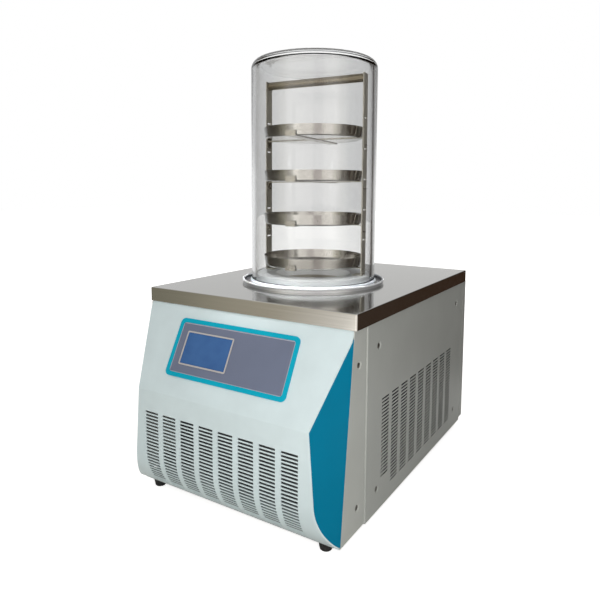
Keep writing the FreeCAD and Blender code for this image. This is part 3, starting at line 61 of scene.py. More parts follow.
class Graph:
    """Small builder for a node tree."""

    def __init__(self, tree):
        self.tree = tree
        tree.nodes.clear()

    def add(self, kind, settings=None, **inputs):
        """New node with its settings, and its inputs set or linked."""
        node = self.tree.nodes.new(kind)
        for key, value in (settings or {}).items():
            setattr(node, key, value)
        for key, value in inputs.items():
            self.put(node, key, value)
        return node

    def put(self, node, key, value):
        """Set or link an input, named by its label, or by its number as in i0."""
        if key[0] == "i" and key[1:].isdigit():
            socket = node.inputs[int(key[1:])]
        else:
            socket = node.inputs[key]
        if isinstance(value, bpy.types.Node):
            value = value.outputs[0]
        if isinstance(value, bpy.types.NodeSocket):
            self.tree.links.new(value, socket)
        else:
            socket.default_value = value

    def maths(self, operation, *values):
        """One step of arithmetic."""
        inputs = {"i%d" % i: value for i, value in enumerate(values)}
        return self.add("ShaderNodeMath", {"operation": operation}, **inputs)

    def times(self, first, second):
        return self.maths("MULTIPLY", first, second)

    def plus(self, first, second):
        return self.maths("ADD", first, second)

    def spread(self, value, low, high, to_low, to_high):
        """A range of values mapped to another one, and held at its ends."""
        return self.add("ShaderNodeMapRange", i0=value, i1=low, i2=high, i3=to_low, i4=to_high)

    def drift(self, noise, to_low, to_high):
        """Noise's usual range, mapped to another one."""
        return self.spread(noise, 0.3, 0.7, to_low, to_high)

    def blend(self, factor, first, second):
        """Mix of two colours, which are the Mix node's inputs 6 and 7."""
        node = self.add("ShaderNodeMix", {"data_type": "RGBA"}, i0=factor, i6=first, i7=second)
        return node.outputs[2]

    def shades(self, factor, colour, darker, lighter):
        """A colour from a darker to a lighter tone of itself."""
        return self.blend(factor, tone(colour, darker), tone(colour, lighter))

    def scaled(self, vector, factor):
        """A vector or colour times a number."""
        return self.add("ShaderNodeVectorMath", {"operation": "SCALE"}, i0=vector, Scale=factor)

    def split(self, vector):
        """The x, y and z of a vector."""
        return self.add("ShaderNodeSeparateXYZ", Vector=vector).outputs

    def away(self, x, y):
        """Level distance from the origin."""
        return self.maths("SQRT", self.plus(self.times(x, x), self.times(y, y)))

    def place(self, scale=(1, 1, 1), shift=(0, 0, 0)):
        """Object coordinates in metres, moved and stretched."""
        coords = self.add("ShaderNodeTexCoord").outputs["Object"]
        return self.add("ShaderNodeMapping", Vector=coords, Location=shift, Scale=scale)

    def round_place(self):
        """Distance from the chamber's axis, and height."""
        x, y, z = self.split(self.place(shift=(-AXIS.x, -AXIS.y, 0)))
        return self.away(x, y), z

    def normal(self):
        """The x, y and z of the surface's normal."""
        return self.split(self.add("ShaderNodeNewGeometry").outputs["Normal"])

    def noise(self, where, size, detail=2.0, rough=0.5):
        """Noise whose features are about size metres across."""
        node = self.add("ShaderNodeTexNoise", Vector=where, Scale=1.0 / size, Detail=detail,
                        Roughness=rough)
        return node.outputs["Fac"]

    def bump(self, height, depth):
        """Normal of a relief whose height of 1 is depth metres."""
        return self.add("ShaderNodeBump", Strength=1.0, Distance=depth, Height=height)


def rgb(r, g, b):
    """sRGB 0-255 to a linear colour."""
    def line(c):
        c /= 255.0
        return c / 12.92 if c <= 0.04045 else ((c + 0.055) / 1.055) ** 2.4
    return (line(r), line(g), line(b), 1.0)


def grey(level):
    """Linear grey."""
    return (level, level, level, 1)


def tone(colour, factor):
    """A colour made darker or lighter."""
    return (colour[0] * factor, colour[1] * factor, colour[2] * factor, 1.0)


def material(name):
    """New material with a Principled surface; returns it with its graph and shader node."""
    made = bpy.data.materials.new(name)
    made.use_nodes = True
    graph = Graph(made.node_tree)
    shader = graph.add("ShaderNodeBsdfPrincipled")
    out = graph.add("ShaderNodeOutputMaterial")
    graph.put(out, "Surface", shader)
    return made, graph, shader


def lay_over(g, shader, share, colour):
    """Lay a colour over a shader's base colour, by a share from 0 to 1."""
    plain = shader.inputs["Base Color"].links[0].from_socket
    g.put(shader, "Base Color", g.blend(share, plain, colour))


# ---------------------------------------------------------------- materials

def moulded(name, colour, **options):
    """Moulded plastic."""
    return moulded_parts(name, colour, **options)[0]


def moulded_parts(name, colour, rough=0.35, coat=0.0, grain=0.9 * MM, gloss=0.5):
    """Moulded plastic: a fine grain, slow changes of tone and slight wear in the gloss."""
    made, g, shader = material(name)
    slow = g.noise(g.place(), 50 * MM, 3.0)
    fine = g.noise(g.place(), grain)
    g.put(shader, "Base Color", g.shades(g.drift(slow, 0.0, 1.0), colour, 0.96, 1.03))
    g.put(shader, "Roughness", g.drift(slow, rough * 0.9, rough * 1.12))
    g.put(shader, "Normal", g.bump(fine, 0.01 * MM))
    g.put(shader, "Specular IOR Level", gloss)
    g.put(shader, "Coat Weight", coat)
    g.put(shader, "Coat Roughness", 0.12)
    return made, g, shader


def front_skin_and_slot_shade(name, colour):
    """The front moulding's plastic, with painted shade darkening the floors of its slots, less near
    its foot.
    """
    made, g, shader = moulded_parts(name, colour, rough=0.34, coat=0.15, gloss=0.35)
    # Painted shade: the upward-facing floors of the slots are laid near black, less so near the
    # foot.
    slot_floor_shade = g.maths("GREATER_THAN", g.normal()[2], 0.85)
    depth = g.spread(g.split(g.place())[2], 70 * MM, 220 * MM, 0.6, 1.0)
    lay_over(g, shader, g.times(slot_floor_shade, depth), rgb(40, 42, 42))
    return made


def bordered(name, colour, border, node):
    """Printed overlay of one colour with a thin pale line round its border."""
    made, g, shader = moulded_parts(name, colour, rough=0.45, grain=0.4 * MM, gloss=0.25)
    low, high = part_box(node)
    x, _, z = g.split(g.place())
    inward = []
    for value, start, end in ((x, low.x, high.x), (z, low.z, high.z)):
        off = g.maths("ABSOLUTE", g.maths("SUBTRACT", value, (start + end) / 2))
        inward.append(g.maths("SUBTRACT", (end - start) / 2, off))
    line = g.spread(g.maths("MINIMUM", *inward), 1.3 * MM, 1.6 * MM, 0.8, 0.0)
    lay_over(g, shader, line, border)
    return made


def ring_finish_and_shade(name, inside, bead):
    """The seal ring: a pale bead; a satin wall that mirrors a little, with painted shade making it
    a little darker than the bead; painted shade on the foot inside it.
    """
    made, g, shader = moulded_parts(name, rgb(226, 228, 230), rough=0.25)
    radius, height = g.round_place()
    wall = g.maths("LESS_THAN", height, bead)
    foot = g.times(g.maths("LESS_THAN", radius, inside + 0.1 * MM), wall)
    # Painted shade: the wall below the bead is laid a little darker than the bead.
    lay_over(g, shader, wall, rgb(210, 212, 214))
    # Painted shade: the foot inside the ring is laid dark grey.
    lay_over(g, shader, foot, rgb(96, 96, 100))
    g.put(shader, "Metallic", g.times(wall, 0.45))
    return made


def powder(name, colour, **options):
    """Powder-coated sheet."""
    return powder_parts(name, colour, **options)[0]


def powder_parts(name, colour, rough=0.42):
    """Powder-coated sheet: orange-peel skin over flat metal."""
    made, g, shader = material(name)
    peel = g.noise(g.place(), 1.6 * MM, 3.0, 0.6)
    slow = g.noise(g.place(), 90 * MM)
    g.put(shader, "Base Color", g.shades(g.drift(slow, 0.0, 1.0), colour, 0.97, 1.03))
    g.put(shader, "Roughness", g.drift(peel, rough * 0.85, rough * 1.15))
    g.put(shader, "Normal", g.bump(peel, 0.035 * MM))
    return made, g, shader


def panel_powder_and_shade(name, colour):
    """Side panels: powder-coated, with painted shade darkening the inner face and the walls of the
    slots.
    """
    made, g, shader = powder_parts(name, colour)
    across, along, _ = g.split(g.place())
    inward = g.maths("LESS_THAN", g.times(g.maths("SIGN", across), g.normal()[0]), -0.5)
    grille = g.times(g.maths("GREATER_THAN", along, SLOTS_FROM),
                     g.maths("LESS_THAN", along, SLOTS_TO))
    sunk = g.maths("LESS_THAN", g.maths("ABSOLUTE", across), PANEL_FACE - 0.2 * MM)
    # Painted shade: the inner face, and the slot walls behind the outer face, are laid near black.
    lay_over(g, shader, g.maths("MAXIMUM", inward, g.times(grille, sunk)), rgb(34, 34, 35))
    return made


def steel_finish(g, shader, colour, grain, cloud, rough, depth, contrast):
    """Grain and slow clouds in a steel's colour, gloss and relief."""
    lighter = g.spread(grain, 0.25, 0.75, 0.0, 1.0)
    g.put(shader, "Base Color", g.shades(lighter, colour, 1 - contrast, 1 + contrast))
    g.put(shader, "Roughness", g.plus(g.spread(grain, 0.25, 0.75, -0.04, 0.04),
                                      g.drift(cloud, rough * 0.85, rough * 1.15)))
    g.put(shader, "Normal", g.bump(grain, depth))


def brushed(name, colour, along, rough, metallic=1.0):
    """Sheet steel with its grain along X or Z."""
    made, g, shader = material(name)
    stretch = [GRAIN_ALONG if axis == along else GRAIN_ACROSS for axis in "XYZ"]
    grain = g.noise(g.place(stretch), 1.0, 3.0, 0.6)
    cloud = g.noise(g.place(), 120 * MM)
    steel_finish(g, shader, colour, grain, cloud, rough, 0.012 * MM, 0.07)
    g.put(shader, "Metallic", metallic)
    return made


def spun(name, colour, rough, metallic=1.0):
    """Round steel pieces about the chamber's axis: the grain runs round them."""
    made, g, shader = material(name)
    radius, height = g.round_place()
    rings = g.add("ShaderNodeCombineXYZ", X=g.times(radius, GRAIN_ACROSS),
                  Y=g.times(height, GRAIN_ACROSS))
    grain = g.noise(rings, 1.0)
    cloud = g.noise(g.place(), 50 * MM)
    steel_finish(g, shader, colour, grain, cloud, rough, 0.01 * MM, 0.06)
    g.put(shader, "Metallic", metallic)
    return made


def metal(name, colour, rough, mottling):
    """Drawn, cast or plated metal with soft mottling of a given size."""
    made, g, shader = material(name)
    mottle = g.noise(g.place(), mottling, 3.0)
    g.put(shader, "Base Color", g.shades(mottle, colour, 0.92, 1.08))
    g.put(shader, "Metallic", 1.0)
    g.put(shader, "Roughness", g.drift(mottle, rough * 0.85, rough * 1.2))
    g.put(shader, "Normal", g.bump(mottle, 0.02 * MM))
    return made


def rubber(name, colour):
    """Dull black rubber or foam with a little dust."""
    made, g, shader = material(name)
    fine = g.noise(g.place(), 0.7 * MM, 3.0)
    dust = g.noise(g.place(), 20 * MM, 4.0, 0.6)
    dusty = g.spread(dust, 0.45, 0.8, 0.0, 0.6)
    g.put(shader, "Base Color", g.blend(dusty, colour, rgb(90, 88, 84)))
    g.put(shader, "Roughness", g.drift(fine, 0.55, 0.75))
    g.put(shader, "Normal", g.bump(fine, 0.04 * MM))
    return made


def clear_acrylic(name):
    """Clear cast acrylic with the faintest wave and hairline marks; lamps shine through it."""
    made, g, shader = material(name)
    wave = g.noise(g.place((1, 1, 0.25)), 30 * MM)
    marks = g.noise(g.place((900, 900, 30)), 1.0)
    g.put(shader, "Base Color", (0.805, 0.81, 0.812, 1.0))
    g.put(shader, "Transmission Weight", 1.0)
    g.put(shader, "IOR", 1.49)
    g.put(shader, "Roughness", g.spread(marks, 0.6, 0.9, 0.0, 0.05))
    g.put(shader, "Normal", g.bump(wave, 0.08 * MM))
    rays = g.add("ShaderNodeLightPath").outputs
    through = g.maths("MAXIMUM", rays["Is Shadow Ray"], rays["Is Diffuse Ray"])
    open_air = g.add("ShaderNodeBsdfTransparent", Color=(0.985, 0.988, 0.988, 1.0))
    mixed = g.add("ShaderNodeMixShader", i0=through, i1=shader, i2=open_air)
    out = [n for n in g.tree.nodes if n.type == "OUTPUT_MATERIAL"][0]
    g.put(out, "Surface", mixed)
    return made


def lcd(name):
    """Lit blue screen: a fine pixel grid over a soft, uneven backlight."""
    made, g, shader = material(name)
    cells = g.add("ShaderNodeTexChecker", Vector=g.place(), Scale=1.0 / (0.6 * MM),
                  Color1=rgb(60, 106, 162), Color2=rgb(50, 94, 148))
    cloud = g.noise(g.place(), 30 * MM, 3.0)
    backlight = g.blend(g.spread(cloud, 0.35, 0.65, 0.0, 1.0), rgb(44, 84, 138),
                        rgb(60, 102, 156))
    lit = g.blend(0.5, backlight, cells)
    g.put(shader, "Base Color", lit)
    g.put(shader, "Emission Color", lit)
    g.put(shader, "Emission Strength", 0.06)
    g.put(shader, "Roughness", 0.35)
    return made


def fins(name):
    """Condenser face: upright aluminium fins with painted shade in the gaps between them, and dust.
    """
    made, g, shader = material(name)
    stripe = g.maths("PINGPONG", g.split(g.place())[0], 1.1 * MM)
    level = g.spread(stripe, 0.2 * MM, 0.8 * MM, 0.0, 1.0)
    dust = g.noise(g.place(), 20 * MM, 4.0)
    # Painted shade: the gaps between the fins are laid near black.
    clean = g.blend(level, rgb(16, 16, 17), rgb(120, 122, 124))
    dusty = g.spread(dust, 0.4, 0.8, 0.0, 0.4)
    g.put(shader, "Base Color", g.blend(dusty, clean, rgb(60, 58, 54)))
    g.put(shader, "Metallic", 0.6)
    g.put(shader, "Roughness", 0.5)
    g.put(shader, "Normal", g.bump(level, 0.6 * MM))
    return made


def paint(items, look):
    """Give CAD nodes, by name, or new pieces a material."""
    for item in items:
        thing = NODES[item] if isinstance(item, str) else item
        slots = thing.data.materials
        if slots:
            for i in range(len(slots)):
                slots[i] = look
        else:
            slots.append(look)


# ---------------------------------------------------------------- mesh helpers

def piece(name, bm, sharp, slot, replaces, body="cabinet"):
    """New visible piece from a bmesh, smooth but for edges over an angle in degrees."""
    bmesh.ops.recalc_face_normals(bm, faces=bm.faces)
    mesh = bpy.data.meshes.new(name)
    bm.to_mesh(mesh)
    bm.free()
    mesh.shade_smooth()
    mesh.set_sharp_from_angle(angle=math.radians(sharp))
    made = bpy.data.objects.new(name, mesh)
    bpy.context.scene.collection.objects.link(made)
    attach(made, body)
    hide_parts(*replaces)
    return made


def lathe(name, profile, segments, **options):
    """Round piece about the chamber's axis: profile is a closed list of (radius, height)."""
    bm = bmesh.new()
    rings = []
    for radius, height in profile:
        if radius < 1e-6:
            rings.append([bm.verts.new((AXIS.x, AXIS.y, height))])
            continue
        ring = []
        for turn in arc_angles(segments):
            x, y = AXIS.x + radius * math.cos(turn), AXIS.y + radius * math.sin(turn)
            ring.append(bm.verts.new((x, y, height)))
        rings.append(ring)
    for low, high in zip(rings, rings[1:] + rings[:1]):
        if len(low) == 1 and len(high) == 1:
            continue
        for k in range(segments):
            n = (k + 1) % segments
            if len(low) == 1:
                bm.faces.new((low[0], high[n], high[k]))
            elif len(high) == 1:
                bm.faces.new((low[k], low[n], high[0]))
            else:
                bm.faces.new((low[k], low[n], high[n], high[k]))
    return piece(name, bm, 35, **options)


def arc_angles(count):
    """Angles of equal steps round a circle."""
    return [2 * math.pi * k / count for k in range(count)]


def bow(centre, radius, start, end, steps):
    """Points of an arc in a profile, in degrees from the +radius direction."""
    points = []
    for k in range(steps + 1):
        turn = math.radians(start + (end - start) * k / steps)
        points.append((centre[0] + radius * math.cos(turn), centre[1] + radius * math.sin(turn)))
    return points


# ---------------------------------------------------------------- pieces

def make_cover():
    """Clear cover, turned finely enough for clean refraction."""
    low, high = COVER
    outer = (high.x - low.x) / 2
    wall, roof = 8 * MM, 15 * MM
    crown, inside = 18 * MM, 4 * MM     # radii of the crown's outer and inner corners
    inner = outer - wall
    lip = 0.8 * MM                      # chamfer of the foot
    profile = [(inner + lip, low.z), (outer - lip, low.z), (outer, low.z + lip)]
    profile += bow((outer - crown, high.z - crown), crown, 0, 90, 12)
    profile += [(0, high.z), (0, high.z - roof)]
    profile += bow((inner - inside, high.z - roof - inside), inside, 90, 0, 6)
    profile += [(inner, low.z + lip)]
    made = lathe("cover_clear", profile, 160, slot="acrylic", replaces=("chamber_cover",))
    paint([made], clear_acrylic("clear_acrylic"))


def make_ring():
    """Seal ring: a flat foot on the worktop, a low wall and a rolled bead on it."""
    low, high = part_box("seal_ring")
    outer = (high.x - low.x) / 2
    bead, gauge = 2 * MM, 1.2 * MM
    middle, top = outer - bead, high.z - bead
    foot = 129 * MM                     # the foot's inner radius
    lean = math.degrees(math.asin(gauge / 2 / bead))
    profile = [(foot, low.z), (middle + gauge / 2, low.z)]
    profile += bow((middle, top), bead, -90 + lean, 270 - lean, 20)
    profile += [(middle - gauge / 2, low.z + gauge), (foot, low.z + gauge)]
    made = lathe("ring_rolled", profile, 192, slot="stainless", replaces=("seal_ring",))
    paint([made], ring_finish_and_shade("ring_pale", middle - gauge / 2, high.z - 2 * bead))


def screw_groups():
    """The points of each case screw of the frame, as one list for each screw."""
    cell, near = 30 * MM, 15 * MM
    thing = NODES["case_screws"]
    cells = {}
    for v in thing.data.vertices:
        at = thing.matrix_world @ v.co
        cells.setdefault((at.x > 0, round(at.y / cell), round(at.z / cell)), []).append(at)
    groups = []
    for points in cells.values():
        for group in groups:
            if (group[0] - points[0]).length < near:
                group.extend(points)
                break
        else:
            groups.append(list(points))
    return groups


def make_screws():
    """Domed case screws with a cross recess, one at each screw of the frame."""
    larger = 1.2                        # wider than the CAD heads, as in the photograph
    bm = bmesh.new()
    for points in screw_groups():
        low = [min(p[i] for p in points) for i in range(3)]
        high = [max(p[i] for p in points) for i in range(3)]
        side = 1 if low[0] > 0 else -1
        tip = high[0] if side > 0 else low[0]
        radius = (high[1] - low[1]) / 2 * larger
        screw_head(bm, (tip, (low[1] + high[1]) / 2, (low[2] + high[2]) / 2), side, radius)
    made = piece("screw_heads", bm, 40, slot="screws", replaces=("case_screws",))
    paint([made], metal("screw_plate", rgb(120, 118, 114), 0.32, 2 * MM))


def screw_head(bm, tip, side, radius):
    """Pan head facing +X or -X, its tapered cross recess turned a little from screw to screw."""
    sides = 40
    turn = 0.6 + tip[1] * 9 + tip[2] * 5
    height = 1.4 * MM
    dome = 0.62                         # the part of the height that is the dome's
    half_width, reach = 0.13 * radius, 0.52 * radius
    taper, floor = 0.72, 0.85           # the recess's floor: its size and depth, as shares

    def level(r):
        """Height of the dome below its tip, at a radius."""
        return -height * dome * (r / radius) ** 2.2

    def at(u, v, out):
        """Point across the head, in its turned directions, and outwards from its tip."""
        c, s = math.cos(turn), math.sin(turn)
        return bm.verts.new((tip[0] + side * out, tip[1] + u * c - v * s, tip[2] + u * s + v * c))

    def ring(r, out):
        return [at(r * math.cos(a), r * math.sin(a), out) for a in arc_angles(sides)]

    rings = [ring(radius, -height)]
    for share in (1.0, 0.97, 0.88, 0.76, 0.66):
        rings.append(ring(radius * share, level(radius * share)))
    for a, b in zip(rings, rings[1:]):
        for k in range(sides):
            n = (k + 1) % sides
            bm.faces.new((a[k], a[n], b[n], b[k]))
    outline = []
    for k in range(4):
        c, s = round(math.cos(k * math.pi / 2)), round(math.sin(k * math.pi / 2))
        for u, v in ((reach, -half_width), (reach, half_width), (half_width, half_width)):
            outline.append((u * c - v * s, u * s + v * c))
    count = len(outline)
    lip = [at(u, v, level(math.hypot(u, v))) for u, v in outline]
    foot = [at(u * taper, v * taper, -height * floor) for u, v in outline]
    for k in range(count):
        n = (k + 1) % count
        bm.faces.new((lip[k], lip[n], foot[n], foot[k]))
    bm.faces.new(foot)
    loops = [bm.edges.get((rings[-1][k], rings[-1][(k + 1) % sides])) for k in range(sides)]
    loops += [bm.edges.get((lip[k], lip[(k + 1) % count])) for k in range(count)]
    bmesh.ops.triangle_fill(bm, edges=loops, use_beauty=True)


make_cover()
make_ring()
make_screws()

TRAYS = ["tray_%d" % i for i in range(1, 5)]
SHELVES = ["shelf_%d" % i for i in range(1, 5)]
FEET = ["foot_%s_%s" % (a, b) for a in ("front", "back") for b in ("left", "right")]
PIPES = ["hot_gas_line", "liquid_line", "filter_drier", "capillary_line", "suction_line",
         "drain_pipe"]
STEEL = rgb(196, 195, 192)
CASE = rgb(186, 188, 182)

# The worktop, the chamber and the rack.
paint(["top_plate"], brushed("worktop_steel", STEEL, "X", 0.11))
paint(TRAYS, spun("spun_steel", STEEL, 0.16))
paint(["trap_bucket"], spun("trap_steel", rgb(214, 206, 190), 0.4, metallic=0.6))
paint(["rack_upright_left", "rack_upright_right"],
      brushed("rack_steel", rgb(208, 205, 194), "Z", 0.45, metallic=0.72))
paint(SHELVES, brushed("shelf_steel", rgb(170, 167, 158), "X", 0.24))
# The handle's steel is painted darker and warmer than the other steel: a painted reflection of the
# dark brown studio it mirrors.
paint(["rack_handle"], brushed("handle_steel", rgb(132, 124, 108), "X", 0.3))
paint(["rack_base"], moulded("ring_white", rgb(250, 253, 253), rough=0.4))
paint(["chamber_gasket"], moulded("gasket_silicone", rgb(226, 232, 238)))

# The front.
paint(["front_panel"], front_skin_and_slot_shade("moulding_white", rgb(220, 234, 235)))
paint(["cheek_left", "cheek_right"],
      moulded("cheek_teal", rgb(0, 121, 154), rough=0.3, gloss=0.08))
paint(["display_bezel"], moulded("bezel_cyan", rgb(0, 172, 198), rough=0.3, gloss=0.2))
paint(["display_overlay"],
      bordered("overlay_slate", rgb(115, 122, 142), rgb(196, 190, 200), "display_overlay"))
paint(["screen_frame"], moulded("frame_grey", rgb(196, 190, 186), rough=0.4, gloss=0.3))
paint(["lcd_screen"], lcd("lcd_blue"))

# The case.
paint(["side_panel_left", "side_panel_right"], panel_powder_and_shade("case_grey", CASE))
paint(["side_strip_left", "side_strip_right"], powder("strip_grey", rgb(200, 202, 195)))
paint(["back_panel"], powder("cover_grey", CASE))
paint(["base_tray", "fan_shroud", "fan_bracket", "electrical_box"],
      metal("galvanised", rgb(150, 152, 154), 0.4, 12 * MM))
paint(["compressor_mounts"] + FEET, rubber("black_rubber", rgb(22, 22, 23)))

# The insides and the back's fittings.
paint(["trap_insulation"], rubber("foam_black", rgb(30, 30, 31)))
paint(["condenser"], fins("condenser_fins"))
paint(["compressor", "fan_motor"], powder("black_enamel", rgb(20, 20, 22), rough=0.3))
paint(PIPES, metal("copper", rgb(190, 120, 84), 0.28, 10 * MM))
paint(["vacuum_port"], metal("port_steel", rgb(190, 190, 188), 0.25, 3 * MM))
paint(["drain_valve", "vent_valve"], metal("brass", rgb(196, 164, 92), 0.28, 4 * MM))
paint(["fan_rotor", "vent_knob", "power_inlet", "pump_outlet", "switch_housing"],
      moulded("black_plastic", rgb(24, 24, 25), rough=0.4))
paint(["power_switch"], moulded("rocker_black", rgb(30, 30, 31), rough=0.25, coat=0.3))
paint(["drain_lever"], moulded("lever_red", rgb(168, 30, 26)))
paint(["control_board"], moulded("board_green", rgb(20, 84, 48), rough=0.4))


# ---------------------------------------------------------------- studio

# What metal and gloss mirror round the studio, by the direction from +X in degrees:
# pale walls in front and behind, brown curtains with pale gaps at the right, dark at the left.
WALLS = [
    (0, (0.75, 0.70, 0.62)), (7, (0.10, 0.080, 0.060)), (12, (0.07, 0.05, 0.035)),
    (15, (0.42, 0.38, 0.32)), (18, (0.05, 0.034, 0.024)), (31, (0.045, 0.03, 0.02)),
    (34, (0.30, 0.27, 0.22)), (37, (0.04, 0.028, 0.02)), (72, (0.030, 0.016, 0.009)),
    (82, (0.035, 0.027, 0.020)), (90, (0.40, 0.40, 0.40)), (106, (0.66, 0.66, 0.655)),
    (160, (0.66, 0.665, 0.67)), (172, (0.16, 0.14, 0.11)), (190, (0.05, 0.040, 0.030)),
    (214, (0.07, 0.058, 0.042)), (228, (0.36, 0.34, 0.26)), (242, (1.00, 0.92, 0.74)),
    (254, (2.00, 1.92, 1.78)), (264, (2.00, 1.92, 1.78)), (274, (1.65, 1.57, 1.46)),
    (296, (1.65, 1.57, 1.46)), (303, (1.00, 0.91, 0.86)), (314, (1.00, 0.91, 0.86)),
    (322, (1.60, 1.52, 1.42)), (340, (1.80, 1.72, 1.60)), (352, (1.00, 0.94, 0.84)),
    (360, (0.75, 0.70, 0.62)),
]
BRIGHTEST = 2.0
CEILING = (0.80, 0.79, 0.77, 1)

# Narrow bright windows in the front wall: middle and half width in degrees, and their light.
WINDOWS = [(257, 4), (333, 3.5)]
WINDOW_LIGHT = (7.0, 7.05, 7.2, 1)

# The camera, recovered from the cabinet's edges: its place, and its turn, tilt and roll
# in degrees.
EYE = (0.5975, -1.0259, 0.5654)
TURN, TILT, ROLL = 32.286, -5.979, 0.258
LENS, SENSOR, SHIFT = 34.23, 36, -0.0872

# What most lamps are aimed at.
MIDDLE = (0, 0, 0.35)


def walls(g, x, y):
    """Colour of the studio's walls in a level direction."""
    full = 2 * math.pi
    turn = g.maths("ARCTAN2", y, x)
    share = g.maths("DIVIDE", g.maths("MODULO", g.plus(turn, full), full), full)
    ramp = g.add("ShaderNodeValToRGB", i0=share)
    stops = ramp.color_ramp.elements
    while len(stops) > 1:
        stops.remove(stops[-1])
    for k, (degrees, colour) in enumerate(WALLS):
        stop = stops[0] if k == 0 else stops.new(degrees / 360)
        stop.position = degrees / 360
        stop.color = tuple(c / BRIGHTEST for c in colour) + (1,)
    return g.scaled(ramp.outputs["Color"], BRIGHTEST)


def windows(g, x, y):
    """1 in the narrow windows of the front wall."""
    shares = []
    for middle, half in WINDOWS:
        u, v = math.cos(math.radians(middle)), math.sin(math.radians(middle))
        near = g.plus(g.times(x, u), g.times(y, v))
        edge = math.cos(math.radians(half))
        shares.append(g.spread(near, edge - 0.002, edge, 0.0, 1.0))
    return g.maths("MAXIMUM", *shares)


def lifted(g, x, y, more):
    """The walls, with the part behind the object made brighter by a share."""
    behind = g.times(g.spread(y, 0.2, 0.5, 0.0, 1.0), more)
    return g.scaled(walls(g, x, y), g.plus(behind, 1.0))


def dimmed(g, x, y, colour):
    """The floor in front of the object, on its left, mirrored darker than the walls above it.

    Directions from 223 to 242 degrees, which the worktop's front edge mirrors, lose light more
    and more. Those past 257 degrees, which the trays mirror, keep all of it.
    """
    share = g.maths("MAXIMUM", g.spread(y, -0.68, -0.883, 1.0, 0.52),
                    g.spread(x, -0.36, -0.22, 0.0, 1.0))
    return g.scaled(colour, share)


def bounces(g):
    """1 for a ray that was mirrored on its way, and 1 for a ray that was scattered."""
    rays = g.add("ShaderNodeLightPath").outputs
    return [g.maths("MINIMUM", rays[kind], 1.0) for kind in ("Glossy Depth", "Diffuse Depth")]


def make_floor():
    """Plain pale floor; mirrored from afar, it shows the studio's walls instead."""
    bm = bmesh.new()
    bmesh.ops.create_grid(bm, x_segments=1, y_segments=1, size=12)
    mesh = bpy.data.meshes.new("floor")
    bm.to_mesh(mesh)
    bm.free()
    made = bpy.data.objects.new("floor", mesh)
    bpy.context.scene.collection.objects.link(made)
    look, g, shader = material("floor_pale")
    x, y, _ = g.split(g.add("ShaderNodeTexCoord").outputs["Object"])
    away = g.away(x, y)
    mirrored, scattered = bounces(g)
    slow = g.noise(g.place(), 0.6)
    pale = g.blend(slow, (0.80, 0.785, 0.745, 1), (0.84, 0.825, 0.785, 1))
    # Less light comes back from the floor at the right and behind.
    shade = g.spread(g.plus(x, g.times(y, 0.6)), -0.25, 0.35, 0.0, 1.0)
    pale = g.blend(g.times(shade, scattered), pale, grey(0.2))
    # Mirrored, the floor turns into the studio's walls from 0.45 to 0.8 m out.
    distant = g.times(mirrored, g.spread(away, 0.45, 0.8, 0.0, 1.0))
    far_x, far_y = g.maths("DIVIDE", x, away), g.maths("DIVIDE", y, away)
    room = dimmed(g, far_x, far_y, lifted(g, far_x, far_y, 0.45))
    g.put(shader, "Base Color", g.blend(distant, pale, grey(0)))
    g.put(shader, "Roughness", 0.9)
    g.put(shader, "Specular IOR Level", 0.0)
    g.put(shader, "Emission Color", g.blend(distant, grey(1), room))
    # Seen directly, the floor runs out into the white backdrop.
    direct = g.maths("SUBTRACT", 1.0, g.maths("MINIMUM", g.plus(mirrored, scattered), 1.0))
    backdrop = g.times(direct, g.spread(away, 0.8, 1.8, 0.80, 1.0))
    g.put(shader, "Emission Strength", g.plus(backdrop, distant))
    paint([made], look)


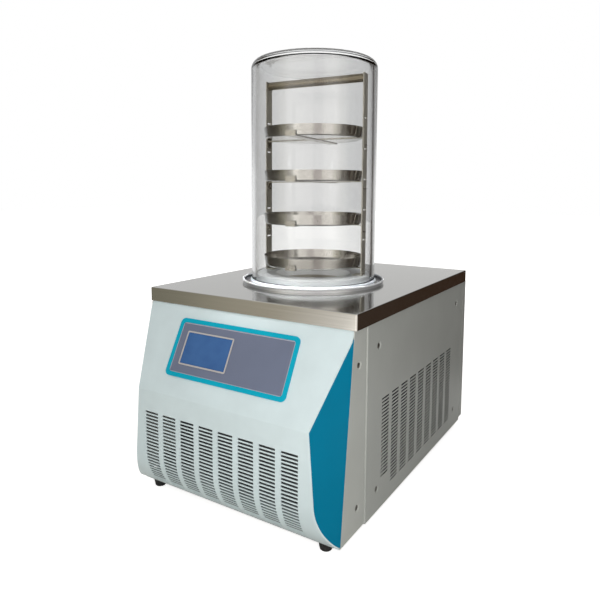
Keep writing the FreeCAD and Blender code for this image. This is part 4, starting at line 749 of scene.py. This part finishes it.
def make_world():
    """White backdrop; metal and gloss mirror the walls and a pale ceiling; plain grey light."""
    world = bpy.data.worlds.new("studio")
    bpy.context.scene.world = world
    world.use_nodes = True
    g = Graph(world.node_tree)
    x, y, z = g.split(g.add("ShaderNodeTexCoord").outputs["Generated"])
    # The light on the object: more from above, less from the right and from behind.
    light = g.blend(g.spread(z, 0.1, 0.9, 0.0, 1.0), grey(0.18), (0.60, 0.603, 0.607, 1))
    shaded = g.spread(g.plus(x, g.times(y, 0.5)), -0.2, 1.1, 0.0, 0.75)
    light = g.blend(shaded, light, grey(0.08))
    # What is mirrored: the walls, brighter low down behind, then the ceiling and the windows.
    room = lifted(g, x, y, g.spread(z, 0.06, 0.12, 0.45, 0.0))
    room = g.blend(g.spread(z, 0.42, 0.75, 0.0, 1.0), room, CEILING)
    high = g.times(g.spread(z, 0.06, 0.1, 0.0, 1.0), g.spread(z, 0.40, 0.46, 1.0, 0.0))
    room = g.blend(g.times(windows(g, x, y), high), room, WINDOW_LIGHT)
    mirrored, scattered = bounces(g)
    colour = g.blend(scattered, g.blend(mirrored, grey(1), room), light)
    background = g.add("ShaderNodeBackground", Color=colour, Strength=1.0)
    g.put(g.add("ShaderNodeOutputWorld"), "Surface", background)


def make_camera():
    """The camera at the photograph's place and angle."""
    data = bpy.data.cameras.new("camera")
    data.sensor_width = SENSOR
    data.lens = LENS
    data.shift_y = SHIFT
    camera = bpy.data.objects.new("camera", data)
    aim = Matrix.Rotation(math.radians(TURN), 4, "Z")
    aim = aim @ Matrix.Rotation(math.radians(90 + TILT), 4, "X")
    aim = aim @ Matrix.Rotation(math.radians(ROLL), 4, "Z")
    camera.matrix_world = Matrix.Translation(EYE) @ aim
    bpy.context.scene.collection.objects.link(camera)
    bpy.context.scene.camera = camera


def lamp(name, place, target, size, power, spread=180, shape="RECTANGLE"):
    """Soft lamp; metal and gloss mirror the studio's walls and ceiling instead of it."""
    data = bpy.data.lights.new(name, "AREA")
    data.shape = shape
    data.size = data.size_y = size
    data.energy = power
    data.spread = math.radians(spread)
    made = bpy.data.objects.new(name, data)
    made.location = place
    made.rotation_euler = (Vector(target) - Vector(place)).to_track_quat("-Z", "Y").to_euler()
    made.visible_glossy = False
    made.visible_transmission = False
    made.visible_camera = False
    bpy.context.scene.collection.objects.link(made)


make_floor()
make_world()
make_camera()
lamp("key", (0.72, -1.02, 0.56), (0, -0.1, 0.22), 0.6, 5.6)
lamp("top", (0.5, -0.9, 1.9), MIDDLE, 1.2, 2.6)
lamp("left", (-2.0, -1.2, 1.3), MIDDLE, 1.2, 0.6)
# Light that the trays and the clear walls scatter down to the rack's base.
lamp("bounce", (AXIS.x, AXIS.y, LOWEST_SHELF - 2 * MM), (AXIS.x, AXIS.y, 0), 0.19, 0.04,
     shape="DISK")
lamp("chamber", (0.03, -0.42, 1.75), (AXIS.x, AXIS.y - 0.07, PLATE_TOP), 0.15, 0.34, spread=13)
lamp("rear", (-0.6, 2.4, 1.6), MIDDLE, 1.2, 6)

bpy.context.scene.view_settings.view_transform = "Standard"
